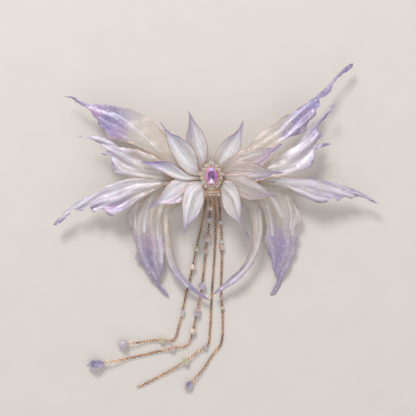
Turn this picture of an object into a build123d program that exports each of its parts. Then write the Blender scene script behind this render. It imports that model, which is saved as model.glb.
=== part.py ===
from build123d import *
import os
from math import cos, pi, radians, sin

# Winged hair ornament, lying on its back. X runs across the wings, Y up the ornament towards its
# crown, Z out of its front. The origin is on the resting plane, under the middle of the jewel.

# spring clip
clip_length = 50.0
clip_width = 7.0
clip_sheet = 0.8
clip_height = 8.0
ear_length = 3.0
ear_sheet = 0.7
arm_width = 4.6
arm_sheet = 0.8
pin_radius = 0.6
knuckle_wall = 0.65
pin_inset = 1.5
pin_play = 0.05
side_play = 0.4
catch_length = 6.0
catch_hook = 0.6
bow_sheet = 0.4
bow_width = 4.4
bow_rise = 1.3
bow_foot = 2.0
rivet_radius = 0.8
rivet_head = 1.3
rivet_head_height = 0.4
rivet_spacing = 16.0

# plate and core
plate_length = 28.0
plate_width = 16.0
plate_sheet = 0.8
core_radius = 4.6
core_height = 8.6

# films and their wires
film_thickness = 0.3
wire_thickness = 0.5
seam = 0.04
root_radius = 3.4
wing_level = 1.0
wing_pitch = 0.8
petal_level = 4.4
petal_pitch = 0.7

# jewel
setting_sheet = 0.8
setting_half = (5.2, 6.2)
bezel_half = (3.75, 5.05)
bezel_wall = 0.6
bezel_height = 1.6
jewel_half = (3.05, 4.35)
jewel_table = 0.62
jewel_crown = 1.2
jewel_pavilion = 1.5
halo_half = (4.5, 5.7)
halo_count = 16
halo_stone = 1.2
grain_size = 1.0
shoulder_ball = 1.4

# chains and what hangs on them
chain_diameter = 1.3
ring_wire = 0.18
pin_wire = 0.14
ring_radius = 0.8
eye_radius = 0.75
eye_row = -8.6
hanger_stem = 0.45
eye_places = (-2.6, -0.6, 1.4, 3.4)
bead_bore = 1.6
end_gap = 0.12

base_top = clip_height + clip_sheet
plate_top = base_top + plate_sheet
setting_foot = plate_top + core_height
eye_height = setting_foot + setting_sheet / 2
half_clip = clip_length / 2
knuckle_radius = pin_radius + pin_play + knuckle_wall
pin_height = knuckle_radius
pin_x = -half_clip + pin_inset


def box(x, y, z):
    """A block between the given pairs of lowest and highest values."""
    middle = [(low + high) / 2 for low, high in (x, y, z)]
    return Pos(*middle) * Box(x[1] - x[0], y[1] - y[0], z[1] - z[0])


def disc(x, y, low, high, radius):
    """An upright cylinder."""
    return Pos(x, y, (low + high) / 2) * Cylinder(radius, high - low)


def cross_bar(x, z, radius, length):
    """A cylinder along Y, centred on Y = 0."""
    return Pos(x, 0, z) * Rot(90, 0, 0) * Cylinder(radius, length)


def oval(half, low, high):
    """An upright elliptical column."""
    return Pos(0, 0, low) * extrude(Ellipse(half[0], half[1]), high - low)


def around(half, count, start=0.0):
    """Evenly turned places on an ellipse."""
    turns = [start + 2 * pi * i / count for i in range(count)]
    return [(half[0] * cos(t), half[1] * sin(t)) for t in turns]


# ---- spring clip ----


def clip_base():
    """The strip that is riveted to the plate, with the two ears of its hinge."""
    body = box((-half_clip, half_clip), (-clip_width / 2, clip_width / 2), (clip_height, base_top))
    ear_end = -half_clip + ear_length
    for side in (-1, 1):
        faces = sorted((side * clip_width / 2, side * (clip_width / 2 - ear_sheet)))
        body += box((-half_clip, ear_end), faces, (0, clip_height))
    body -= cross_bar(pin_x, pin_height, pin_radius + pin_play, clip_width)
    for x in (-rivet_spacing / 2, rivet_spacing / 2):
        body -= disc(x, 0, clip_height, base_top, rivet_radius + pin_play)
    return body


def clip_catch():
    """The sprung fork that grips the free end of the clasp arm."""
    outer = clip_width / 2
    start = half_clip - catch_length
    lobe_start = half_clip - ear_length
    body = box((start, half_clip), (-outer, outer), (clip_height - clip_sheet, clip_height))
    for side in (-1, 1):
        faces = sorted((side * outer, side * (outer - ear_sheet)))
        hook = sorted((side * outer, side * (arm_width / 2 + pin_play)))
        body += box((lobe_start, half_clip), faces, (0, clip_height - clip_sheet))
        body += box((lobe_start, half_clip), hook, (0, catch_hook))
    return body


def clasp_arm():
    """The swinging arm, rolled round the hinge pin at one end."""
    half = arm_width / 2
    tip = half_clip - pin_play
    arm = box((pin_x, tip), (-half, half), (0, arm_sheet))
    arm += cross_bar(pin_x, pin_height, knuckle_radius, arm_width)
    return arm - cross_bar(pin_x, pin_height, pin_radius + pin_play, arm_width)


def clip_bow():
    """The tension leaf, arched down from the strip towards the arm."""
    foot_in = half_clip - catch_length - side_play
    foot_out = foot_in - bow_foot
    low = clip_height - bow_sheet - bow_rise
    with BuildSketch(Plane.XZ) as side_view:
        with BuildLine():
            Polyline((-foot_out, clip_height), (-foot_in, clip_height))
            Line((-foot_in, clip_height), (-foot_in, clip_height - bow_sheet))
            Line((-foot_in, clip_height - bow_sheet), (-foot_out, clip_height - bow_sheet))
            ThreePointArc(
                (-foot_out, clip_height - bow_sheet), (0, low), (foot_out, clip_height - bow_sheet)
            )
            Line((foot_out, clip_height - bow_sheet), (foot_in, clip_height - bow_sheet))
            Line((foot_in, clip_height - bow_sheet), (foot_in, clip_height))
            Line((foot_in, clip_height), (foot_out, clip_height))
            ThreePointArc((foot_out, clip_height), (0, low + bow_sheet), (-foot_out, clip_height))
        make_face()
    return extrude(side_view.sketch, bow_width / 2, both=True)


def rivets():
    """The two rivets that hold the strip to the plate."""
    pieces = []
    for x in (-rivet_spacing / 2, rivet_spacing / 2):
        rivet = disc(x, 0, clip_height, plate_top, rivet_radius)
        rivet += disc(x, 0, clip_height - rivet_head_height, clip_height, rivet_head)
        rivet += disc(x, 0, plate_top, plate_top + rivet_head_height, rivet_head)
        pieces.append(rivet)
    return pieces


def back_plate():
    """The oval plate between the clip and the core."""
    body = oval((plate_length / 2, plate_width / 2), base_top, plate_top)
    for x in (-rivet_spacing / 2, rivet_spacing / 2):
        body -= disc(x, 0, base_top, plate_top, rivet_radius + pin_play)
    return body


# ---- films ----

# Each family of films lies in its own dome: the height of its middle face above the root, at three
# distances from the axis.
petal_dome = ((root_radius, 0.0), (20.0, 2.2), (40.0, 1.2))
wing_dome = ((root_radius, 0.0), (46.0, 0.4), (94.0, -6.4))
tail_dome = ((root_radius, 0.0), (35.0, -2.6), (69.0, -10.9))
ribbon_dome = ((root_radius, 0.0), (33.0, -1.9), (65.0, -8.0))


def shell(dome, level, thickness):
    """A round dome of even height, out to the last distance of its profile."""
    low = [(r, level + z - thickness / 2) for r, z in dome]
    high = [(r, level + z + thickness / 2) for r, z in dome]
    with BuildSketch(Plane.XZ) as half_section:
        with BuildLine():
            ThreePointArc(low[0], low[1], low[2])
            Line(low[2], high[2])
            ThreePointArc(high[2], high[1], high[0])
            Line(high[0], low[0])
        make_face()
    return revolve(half_section.sketch, Axis.Z, 360)


def inset(points, distance):
    """The points of an edge, moved square to it by the distance, to the left of its run."""
    moved = []
    for i, point in enumerate(points):
        here = Vector(*point)
        run_in = (here - Vector(*points[i - 1])).normalized() if i else None
        run_out = (Vector(*points[i + 1]) - here).normalized() if i + 1 < len(points) else None
        along = ((run_in or run_out) + (run_out or run_in)).normalized()
        reach = distance / along.dot(run_in or run_out)
        moved.append((here.X - along.Y * reach, here.Y + along.X * reach))
    return moved


def tip_inset(before, tip, after, distance):
    """The tip of an outline whose two edges are both moved inwards by the distance."""
    one = (Vector(*before) - Vector(*tip)).normalized()
    two = (Vector(*after) - Vector(*tip)).normalized()
    middle = (one + two).normalized() * (distance / sin(radians(one.get_angle(two) / 2)))
    return (tip[0] + middle.X, tip[1] + middle.Y)


def corner_radii(route):
    """The arc at each corner: 0.45 of the shorter run over the tangent of half the turn."""
    radii = []
    for before, here, after in zip(route, route[1:], route[2:]):
        run_in = Vector(*here) - Vector(*before)
        run_out = Vector(*after) - Vector(*here)
        half_turn = radians(run_in.get_angle(run_out) / 2)
        radii.append(0.45 * min(run_in.length, run_out.length) * cos(half_turn) / sin(half_turn))
    return radii


def edge_line(points, smooth=True):
    """An edge through the points: rounded at each of them, or torn."""
    if smooth and len(points) > 2:
        return FilletPolyline(*points, radius=corner_radii(points))
    return Polyline(*points)


def root_points(angle, half_width):
    """The two ends of a root, inside the core: the first is on the clockwise side."""
    ends = []
    for turn in (angle - half_width, angle + half_width):
        ends.append((root_radius * cos(radians(turn)), root_radius * sin(radians(turn))))
    return ends


def prism(face):
    """The upright prism of an outline, taller than the ornament."""
    return extrude(face, setting_foot * 2)


def core_hole():
    return disc(0, 0, 0, setting_foot * 2, core_radius + seam)


def petal_faces(root, first, tip, second):
    """A petal's film and its rim. first runs out from the root on its clockwise side, second back."""
    out = [root[0]] + first
    back = second + [root[1]]
    rims = []
    for depth in (0, wire_thickness, wire_thickness + seam):
        crown = tip_inset(out[-1], tip, back[0], depth)
        rims.append((inset(out + [tip], depth)[:-1] + [crown], [crown] + inset([tip] + back, depth)[1:]))
    outer, inner, film_edge = rims
    with BuildSketch() as rim:
        with BuildLine():
            edge_line(outer[0])
            edge_line(outer[1])
            Line(outer[1][-1], inner[1][-1])
            edge_line(inner[1][::-1])
            edge_line(inner[0][::-1])
            Line(inner[0][0], outer[0][0])
        make_face()
    with BuildSketch() as film:
        with BuildLine():
            edge_line(film_edge[0])
            edge_line(film_edge[1])
            Line(film_edge[1][-1], film_edge[0][0])
        make_face()
    return film.sketch, rim.sketch


def band(points):
    """The strip of wire along an edge."""
    inner = inset(points, wire_thickness)
    with BuildSketch() as strip:
        with BuildLine():
            edge_line(points)
            Line(points[-1], inner[-1])
            edge_line(inner[::-1])
            Line(inner[0], points[0])
        make_face()
    return strip.sketch


def step_in(points, wired):
    """An edge that runs beside its wire for the first wired points, then goes out to the outline."""
    beside = inset(points[: wired + 1], wire_thickness + seam)[:wired]
    here = Vector(*points[wired - 1])
    ahead = (Vector(*points[wired]) - here).normalized() * (wire_thickness / 3)
    return beside, [(here.X + ahead.X, here.Y + ahead.Y)] + points[wired:]


def wing_faces(root, lead, tip, trail, lead_wire, trail_wire, lead_first):
    """A wing's film and its two wires. The leading edge is smooth, the trailing edge is torn."""
    out = [root[0]] + (lead if lead_first else trail[::-1])
    back = [root[1]] + (trail[::-1] if lead_first else lead)
    out_wire, back_wire = (lead_wire, trail_wire) if lead_first else (trail_wire, lead_wire)
    out_beside, out_free = step_in(out + [tip], out_wire)
    mirror_back = [(x, -y) for x, y in back + [tip]]
    back_beside, back_free = step_in(mirror_back, back_wire)
    back_beside = [(x, -y) for x, y in back_beside]
    back_free = [(x, -y) for x, y in back_free]
    with BuildSketch() as film:
        with BuildLine():
            edge_line(out_beside)
            Line(out_beside[-1], out_free[0])
            edge_line(out_free, lead_first)
            edge_line(back_free[::-1], not lead_first)
            Line(back_free[0], back_beside[-1])
            edge_line(back_beside[::-1])
            Line(back_beside[0], out_beside[0])
        make_face()
    wires = [band(out[:out_wire]), mirror(band([(x, -y) for x, y in back[:back_wire]]), Plane.XZ)]
    return film.sketch, wires


def petal(root_angle, level, first, tip, second, root_half=20):
    """A petal's film and rim as solids, at one level of the stack."""
    film, rim = petal_faces(root_points(root_angle, root_half), first, tip, second)
    height = plate_top + petal_level + petal_pitch * level
    film_solid = (prism(film) & shell(petal_dome, height, film_thickness)) - core_hole()
    rim_solid = (prism(rim) & shell(petal_dome, height, wire_thickness)) - core_hole()
    return film_solid, rim_solid.solids()


def wing(root_angle, level, dome, lead, tip, trail, lead_wire, trail_wire, lead_first, root_half=15):
    """A wing's film and its edge wires as solids."""
    root = root_points(root_angle, root_half)
    film, wires = wing_faces(root, lead, tip, trail, lead_wire, trail_wire, lead_first)
    height = plate_top + wing_level + wing_pitch * level
    film_solid = (prism(film) & shell(dome, height, film_thickness)) - core_hole()
    wire_shell = shell(dome, height, wire_thickness)
    solids = []
    for wire in wires:
        solids += ((prism(wire) & wire_shell) - core_hole()).solids()
    return film_solid, solids


def left_petals():
    """Five petals on the left, by name, from the crown down."""
    return {
        "petal_left_crown": petal(
            135, 1,
            [(-2.7, 7.5), (-2.0, 10.3), (-2.2, 15.6), (-4.7, 22.2), (-8.3, 26.8)],
            (-11.5, 32.7),
            [(-11.2, 24.3), (-12.0, 17.1), (-9.0, 9.5)],
        ),
        "petal_left_upper": petal(
            160, 2,
            [(-6.9, 7.6), (-8.4, 12.7), (-15.1, 18.8), (-20.4, 21.6)],
            (-25.4, 27.0),
            [(-22.0, 19.3), (-18.1, 9.6), (-13.5, 3.2)],
        ),
        "petal_left_middle": petal(
            178, 1,
            [(-11.7, 2.2), (-16.8, 5.4), (-22.0, 7.6), (-28.5, 7.4)],
            (-34.5, 7.5),
            [(-26.3, 3.1), (-17.9, -0.9), (-12.5, -2.0)],
        ),
        "petal_left_lower": petal(
            204, 0,
            [(-12.5, -2.2), (-19.1, -2.4), (-23.5, -7.3), (-27.8, -12.4)],
            (-32.0, -16.2),
            [(-26.3, -13.9), (-20.7, -13.4), (-15.1, -12.2), (-9.7, -5.7)],
        ),
        "petal_left_foot": petal(
            238, 2,
            [(-10.4, -3.2), (-13.8, -10.1), (-13.9, -18.7)],
            (-13.5, -29.7),
            [(-10.6, -23.0), (-6.2, -16.7), (-4.4, -11.5), (-4.2, -7.0)],
        ),
    }


def right_petals():
    """Five petals on the right, from the crown down."""
    return {
        "petal_right_crown": petal(
            58, 0,
            [(10.5, 7.4), (13.8, 12.3), (14.7, 20.7)],
            (15.4, 27.4),
            [(11.2, 21.2), (5.3, 16.4), (2.0, 11.0), (1.5, 6.6)],
        ),
        "petal_right_upper": petal(
            30, 1,
            [(11.5, 1.8), (18.0, 3.2), (25.0, 5.5), (29.6, 11.6)],
            (34.7, 16.1),
            [(25.0, 13.7), (14.8, 12.1), (8.2, 8.0)],
        ),
        "petal_right_middle": petal(
            8, 2,
            [(14.0, -2.6), (22.3, -2.3), (29.0, 0.3)],
            (35.8, 1.9),
            [(27.0, 3.4), (20.4, 6.5), (13.3, 7.2), (7.8, 4.6)],
        ),
        "petal_right_lower": petal(
            348, 3,
            [(11.0, -4.6), (15.2, -10.2), (22.9, -10.9), (30.5, -10.2)],
            (36.1, -11.4),
            [(26.0, -5.8), (18.4, -0.5), (9.7, 1.3)],
        ),
        "petal_right_foot": petal(
            303, 4,
            [(5.0, -7.4), (5.3, -12.7), (8.3, -18.5), (13.5, -23.6)],
            (19.1, -31.2),
            [(14.4, -21.5), (14.4, -13.0), (11.8, -4.8)],
        ),
    }


def left_wings():
    """Five wings on the left, from the crown down."""
    return {
        "wing_left_upper": wing(
            152, 2, wing_dome,
            [(-16.0, 12.5), (-24.5, 22.4), (-31.6, 28.5), (-44.0, 34.0), (-55.8, 35.7), (-66.6, 38.9)],
            (-73.2, 39.9),
            [(-66.6, 36.8), (-61.5, 34.0), (-58.0, 29.8), (-55.5, 25.0), (-51.7, 20.9), (-50.4, 19.0),
             (-44.0, 17.7), (-39.2, 16.3), (-30.4, 11.9), (-14.0, 6.4)],
            4, 3, True,
        ),
        "wing_left_middle": wing(
            171, 3, wing_dome,
            [(-15.0, 5.6), (-25.7, 8.6), (-36.0, 12.9), (-45.0, 14.5), (-50.4, 18.3), (-58.4, 20.1)],
            (-66.6, 19.8),
            [(-57.1, 17.4), (-54.5, 14.9), (-51.0, 12.6), (-54.2, 11.3), (-49.7, 10.5), (-48.8, 3.9),
             (-45.0, 0.8), (-36.0, -0.1), (-25.3, -1.2), (-13.0, -1.2)],
            4, 3, True,
        ),
        "wing_left_lower": wing(
            187, 2, wing_dome,
            [(-16.7, 0.6), (-30.4, -0.4), (-41.8, -1.4), (-55.2, -6.9), (-66.4, -12.5), (-76.1, -20.7)],
            (-78.5, -23.7),
            [(-73.0, -21.2), (-69.7, -16.6), (-64.1, -16.8), (-60.3, -14.0), (-58.0, -17.3),
             (-54.1, -15.8), (-49.0, -19.2), (-40.7, -14.8), (-30.4, -8.3), (-15.0, -3.4)],
            4, 3, True,
        ),
        "wing_left_tail": wing(
            213, 0, tail_dome,
            [(-16.0, -9.0), (-24.6, -17.0), (-23.6, -28.6), (-23.9, -40.1), (-26.4, -51.6)],
            (-21.3, -59.9),
            [(-26.7, -55.6), (-33.0, -47.0), (-38.5, -40.7), (-37.1, -36.7), (-38.5, -32.1),
             (-41.1, -22.6), (-40.6, -15.7), (-30.0, -8.0), (-14.0, -4.0)],
            4, 3, False,
        ),
        "wing_left_ribbon": wing(
            232, 1, ribbon_dome,
            [(-17.0, -12.0), (-20.4, -19.4), (-21.0, -28.0), (-19.3, -37.8), (-14.7, -48.1), (-5.5, -57.3)],
            (-0.3, -61.9),
            [(-8.9, -57.3), (-18.1, -49.9), (-22.7, -40.1), (-23.9, -28.0), (-23.6, -15.5), (-14.0, -7.0)],
            4, 3, False,
        ),
    }


def right_wings():
    """Five wings on the right, from the crown down."""
    return {
        "wing_right_upper": wing(
            34, 2, wing_dome,
            [(17.1, 15.6), (28.2, 24.0), (46.1, 35.8), (55.7, 43.5), (62.6, 50.7)],
            (70.8, 56.7),
            [(65.3, 51.1), (60.3, 45.8), (53.4, 38.5), (53.4, 35.1), (51.5, 31.0), (46.5, 22.8),
             (39.2, 19.7), (25.0, 12.4), (14.0, 6.4)],
            4, 3, False,
        ),
        "wing_right_middle": wing(
            9, 3, wing_dome,
            [(15.0, 4.4), (27.8, 7.1), (38.9, 13.6), (47.3, 22.4), (56.1, 31.2)],
            (60.7, 36.0),
            [(54.9, 27.4), (52.3, 22.4), (54.7, 20.5), (50.7, 16.2), (58.8, 16.1), (51.9, 13.6),
             (50.3, 8.7), (45.0, 2.9), (36.4, 0.8), (24.4, -1.8), (13.0, -0.6)],
            4, 3, False,
        ),
        "wing_right_lower": wing(
            352, 2, wing_dome,
            [(15.0, -0.4), (32.2, -0.5), (48.8, -0.9), (63.3, -3.8), (75.8, -8.6)],
            (83.2, -13.6),
            [(74.1, -9.8), (69.6, -10.9), (65.8, -10.0), (62.5, -11.9), (56.7, -12.7), (49.7, -11.9),
             (41.8, -8.8), (30.0, -4.9), (14.0, -2.9)],
            4, 3, False,
        ),
        "wing_right_tail": wing(
            326, 0, tail_dome,
            [(14.0, -3.0), (22.9, -2.9), (32.1, -2.9), (40.1, -7.5), (44.9, -20.5)],
            (29.6, -59.3),
            [(30.7, -45.8), (26.6, -32.1), (27.4, -25.2), (24.6, -15.4), (15.0, -9.5)],
            3, 3, False,
        ),
        "wing_right_ribbon": wing(
            308, 1, ribbon_dome,
            [(16.5, -10.0), (19.4, -16.6), (20.4, -28.6), (16.9, -41.8), (9.5, -49.9), (2.6, -56.7)],
            (0.5, -58.8),
            [(6.0, -56.2), (16.9, -48.1), (23.8, -35.5), (25.5, -23.0), (22.7, -12.5), (13.5, -6.0)],
            4, 3, True,
        ),
    }


# ---- jewel ----


def jewel_setting():
    """The halo plate with its bezel, grains, shoulder balls and crown finial."""
    top = setting_foot + setting_sheet
    body = oval(setting_half, setting_foot, top)
    body += disc(0, setting_half[1] + grain_size / 2, setting_foot, top, grain_size)
    inner = (bezel_half[0] - bezel_wall, bezel_half[1] - bezel_wall)
    body += oval(bezel_half, top, top + bezel_height) - oval(inner, top, top + bezel_height)
    for x, y in around(setting_half, halo_count, pi / halo_count):
        body += disc(x, y, setting_foot, top + grain_size / 3, grain_size / 2)
    for side in (-1, 1):
        place = side * (setting_half[0] + grain_size / 2)
        body += disc(place, grain_size, setting_foot, top + grain_size / 2, shoulder_ball / 2)
    return body


def jewel():
    """The oval stone: pavilion, girdle and crown."""
    foot = setting_foot + setting_sheet + seam
    girdle = foot + jewel_pavilion
    table = girdle + jewel_crown
    sections = []
    for height, share in ((foot, 1 - jewel_table), (girdle, 1.0), (table, jewel_table)):
        sections.append(Pos(0, 0, height) * Ellipse(jewel_half[0] * share, jewel_half[1] * share))
    return loft(sections[:2], ruled=True) + loft(sections[1:], ruled=True)


def small_stone(x, y, size):
    """A round stone with a bevelled top, standing on the halo plate."""
    foot = setting_foot + setting_sheet
    stone = disc(x, y, foot, foot + size * 0.7, size / 2)
    return chamfer(stone.edges().group_by(Axis.Z)[-1], size * 0.2)


def halo_stones():
    return [small_stone(x, y, halo_stone) for x, y in around(halo_half, halo_count)]


def finial_stones():
    place = setting_half[1] + grain_size * 0.7
    size = grain_size * 0.9
    return [small_stone(side * size * 0.52, place, size) for side in (-1, 1)]


# ---- chains ----

# Routes of the four chains, from the jump ring down to the surface and along it.
chain_routes = {
    "chain_far_left": [
        (-2.6, -9.94, 17.0), (-2.7, -12.5, 14.2), (-3.0, -14.4, 10.5), (-3.3, -16.2, 6.8),
        (-3.8, -18.5, 3.4), (-4.4, -21.9, 1.3), (-5.2, -26.0, 0.72), (-6.2, -30.0, 0.8),
        (-7.1, -33.5, 1.6), (-8.0, -38.0, 1.65), (-9.0, -43.0, 1.6), (-9.9, -47.4, 1.6),
        (-11.1, -52.4, 0.8), (-12.4, -57.4, 0.66), (-13.4, -61.8, 0.8), (-14.4, -66.0, 1.3),
        (-15.3, -70.4, 1.25), (-16.4, -74.8, 0.7), (-17.3, -79.2, 0.72), (-18.6, -81.8, 0.8),
        (-21.2, -82.6, 1.2), (-23.0, -81.9, 1.6), (-26.6, -81.7, 1.6), (-30.4, -82.3, 0.8),
        (-34.0, -82.8, 1.1), (-36.7, -83.2, 2.0), (-39.0, -83.4, 2.4),
    ],
    "chain_near_left": [
        (-0.6, -9.94, 17.0), (-0.6, -12.3, 14.4), (-0.5, -14.2, 10.9), (-0.6, -16.0, 7.0),
        (-0.8, -18.8, 3.9), (-1.0, -22.8, 1.9), (-1.3, -26.0, 1.7), (-1.7, -28.6, 1.75),
        (-2.1, -32.6, 1.7), (-2.7, -35.3, 1.2), (-3.0, -38.6, 1.15), (-3.6, -44.4, 0.68),
        (-4.1, -49.0, 1.2), (-4.5, -52.4, 1.9), (-4.9, -56.4, 1.85), (-5.7, -60.6, 1.1),
        (-6.7, -65.0, 1.7), (-7.7, -70.2, 1.75), (-8.9, -75.4, 1.65), (-9.9, -79.6, 1.6),
        (-10.7, -82.6, 0.95), (-12.4, -84.9, 0.85), (-15.2, -85.4, 1.1), (-17.8, -85.7, 1.5),
        (-21.7, -86.7, 1.45), (-26.5, -87.6, 0.75), (-33.5, -89.4, 0.66), (-40.0, -90.8, 0.7),
        (-44.3, -91.6, 1.2), (-47.7, -92.4, 2.4), (-50.4, -92.8, 2.75),
    ],
    "chain_near_right": [
        (1.4, -9.94, 17.0), (1.5, -12.6, 14.1), (1.8, -14.5, 10.3), (2.1, -16.4, 6.4),
        (2.2, -18.8, 3.0), (2.3, -22.4, 1.1), (2.1, -27.5, 0.68), (1.9, -34.5, 0.66),
        (1.4, -42.0, 0.67), (0.8, -49.5, 0.66), (0.3, -57.0, 0.67), (-0.1, -65.0, 0.66),
        (-0.3, -72.5, 0.67), (-0.9, -78.5, 0.7), (-1.0, -82.4, 0.85), (-1.9, -84.9, 1.2),
        (-4.3, -86.3, 1.25), (-7.4, -88.4, 1.2), (-10.9, -91.1, 1.85), (-15.0, -93.8, 1.8),
        (-19.8, -96.9, 0.8), (-25.6, -100.0, 0.66), (-31.3, -103.1, 0.67), (-35.7, -105.2, 0.68),
    ],
    "chain_far_right": [
        (3.4, -9.94, 17.0), (3.8, -12.6, 14.0), (4.1, -14.8, 10.2), (4.3, -16.8, 6.4),
        (4.4, -19.6, 3.0), (4.7, -23.6, 1.35), (5.1, -28.0, 1.25), (5.0, -31.4, 1.2),
        (5.1, -33.8, 1.4), (5.2, -37.2, 1.35), (5.3, -42.5, 0.7), (5.0, -49.5, 0.66),
        (4.9, -55.0, 0.8), (4.9, -58.6, 1.0), (5.1, -61.8, 1.05), (5.4, -64.0, 1.1),
        (5.6, -67.4, 1.05), (5.8, -73.5, 0.68), (5.6, -80.4, 0.7), (4.9, -84.2, 0.68),
        (3.0, -86.7, 0.7), (0.4, -89.6, 0.67), (-1.7, -93.2, 0.7), (-4.0, -96.5, 0.9),
        (-6.1, -98.9, 1.5), (-7.8, -100.75, 1.75),
    ],
}

# Beads: chain, node, the run of the route that it is on, how far along that run, diameter, length.
beads = [
    ("chain_far_left", "bead_far_left_green", 8, 0.50, 3.3, 3.0),
    ("chain_far_left", "bead_far_left_pearl", 10, 0.50, 3.3, 3.3),
    ("chain_far_left", "bead_far_left_clear", 15, 0.50, 2.6, 3.6),
    ("chain_far_left", "bead_far_left_green", 21, 0.50, 3.2, 3.0),
    ("chain_near_left", "bead_near_left_green", 2, 0.50, 3.2, 3.0),
    ("chain_near_left", "bead_near_left_lavender", 4, 0.50, 3.3, 3.0),
    ("chain_near_left", "bead_near_left_rose", 7, 0.50, 3.5, 3.2),
    ("chain_near_left", "bead_near_left_rose", 9, 0.50, 2.3, 2.3),
    ("chain_near_left", "bead_near_left_lavender", 13, 0.50, 3.8, 3.8),
    ("chain_near_left", "bead_near_left_rose", 16, 0.32, 3.5, 2.0),
    ("chain_near_left", "bead_near_left_lavender", 16, 0.74, 3.5, 2.0),
    ("chain_near_left", "bead_near_left_pearl", 18, 0.50, 3.3, 3.3),
    ("chain_near_left", "bead_near_left_rose", 23, 0.50, 3.0, 2.8),
    ("chain_near_right", "bead_near_right_lavender", 15, 0.50, 2.5, 2.3),
    ("chain_near_right", "bead_near_right_green", 18, 0.50, 3.7, 3.3),
    ("chain_far_right", "bead_far_right_crystal", 4, 0.70, 2.5, 2.4),
    ("chain_far_right", "bead_far_right_crystal", 7, 0.50, 2.4, 2.2),
    ("chain_far_right", "bead_far_right_rose", 8, 0.50, 2.8, 2.6),
    ("chain_far_right", "bead_far_right_rose", 13, 0.50, 2.1, 2.0),
    ("chain_far_right", "bead_far_right_green", 15, 0.50, 2.2, 2.0),
]

# Drops: chain, diameter and length of the drop, and the length of its taper towards the ring.
drops = {
    "pearl_drop": ("chain_far_left", 4.8, 4.8, 0.0),
    "tear_drop": ("chain_near_left", 5.5, 8.5, 4.0),
    "crystal_drop": ("chain_far_right", 3.5, 4.5, 0.0),
}
drop_ball = {"pearl_drop": 1.7, "tear_drop": 1.5, "crystal_drop": 1.7}


def chain_path(route):
    return FilletPolyline(*route, radius=corner_radii(route))


def tube(route, radius):
    """A round tube along a route."""
    path = chain_path(route)
    start = Plane(origin=path @ 0, z_dir=path % 0)
    return sweep(start * Circle(radius), path=path)


def chain(name):
    """A chain's tube, checked against its section and length."""
    route = chain_routes[name]
    body = tube(route, chain_diameter / 2)
    length = chain_path(route).length
    share = body.volume / (pi * chain_diameter**2 / 4 * length)
    print(name, "length", round(length, 1), "mm, volume share", round(share, 4))
    print("  radii", " ".join(f"{radius:.1f}" for radius in corner_radii(route)))
    return body


def bead(route, run, share, diameter, length):
    """A bead on one run of a chain, bored for it."""
    start = Vector(*route[run])
    along = Vector(*route[run + 1]) - start
    shape = scale(Sphere(diameter / 2), by=(1, 1, length / diameter))
    placed = Plane(origin=start + along * share, z_dir=along) * shape
    bore = Plane(origin=start + along * share, z_dir=along) * Cylinder(bead_bore / 2, length * 2)
    return placed - bore


def bead_groups():
    """The beads by node."""
    groups = {}
    for chain_name, node, run, share, diameter, length in beads:
        route = chain_routes[chain_name]
        groups.setdefault(node, []).append(bead(route, run, share, diameter, length))
    return groups


def ring(centre, normal, radius):
    """A round wire ring."""
    return Plane(origin=centre, z_dir=normal) * Torus(radius, ring_wire)


def eye(centre):
    """A flat, level eye of pressed wire."""
    outer = Cylinder(eye_radius + ring_wire, ring_wire * 1.2)
    return Pos(*centre) * (outer - Cylinder(eye_radius - ring_wire, ring_wire * 1.2))


def chain_hanger():
    """The cross bar below the setting, with one eye for each chain."""
    bar_y = eye_row + eye_radius
    low, high = eye_height - setting_sheet / 2, eye_height + setting_sheet / 2
    reach = eye_places[-1] + eye_radius
    body = box((eye_places[0] - eye_radius, reach), (bar_y - ring_wire, bar_y + ring_wire * 3), (low, high))
    body += box((-hanger_stem, hanger_stem), (bar_y, -setting_half[1] - seam), (low, high))
    for x in eye_places:
        body += eye((x, eye_row, eye_height))
    return body


def jump_rings():
    """The rings between the hanger's eyes and the chains, hanging at 45 degrees."""
    drop = ring_radius * cos(pi / 4)
    return [ring((x, eye_row - drop, eye_height - drop), (1, 0, 0), ring_radius) for x in eye_places]


def chain_end(name):
    """The end of a chain and its level direction there."""
    route = chain_routes[name]
    end = Vector(*route[-1])
    along = end - Vector(*route[-2])
    return end, Vector(along.X, along.Y, 0).normalized()


def end_rings():
    """One upright ring at the end of each chain with a drop, and a flat one at the bare end."""
    pieces = []
    for name in ("chain_far_left", "chain_near_left", "chain_far_right"):
        end, along = chain_end(name)
        centre = end + along * (ring_radius + ring_wire + end_gap)
        pieces.append(ring(centre, (-along.Y, along.X, 0), ring_radius))
    end, along = chain_end("chain_near_right")
    flat = end + along * (ring_radius + ring_wire + end_gap)
    pieces.append(ring((flat.X, flat.Y, ring_wire * 1.5), (0, 0, 1), ring_radius))
    return pieces


def drop_axis(name):
    """The pivot of a drop and the level direction that it points in."""
    end, along = chain_end(drops[name][0])
    return end + along * (2 * ring_radius + ring_wire + end_gap), along


def drop_body(name):
    """A drop's pearl or crystal, bored for its head pin."""
    diameter, length, taper = drops[name][1:]
    pivot, along = drop_axis(name)
    start = eye_radius + ring_wire + seam
    radius = diameter / 2
    if taper:
        cone = Pos(0, 0, taper / 2) * Cone(ring_wire * 2, radius * 0.96, taper)
        ball = Pos(0, 0, length - radius) * Sphere(radius)
        shape = cone + ball
    else:
        shape = Pos(0, 0, length / 2) * scale(Sphere(radius), by=(1, 1, length / diameter))
    bore = Pos(0, 0, length / 2) * Cylinder(pin_wire + seam, length * 2)
    return Plane(origin=pivot + along * start, z_dir=along) * (shape - bore)


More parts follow.
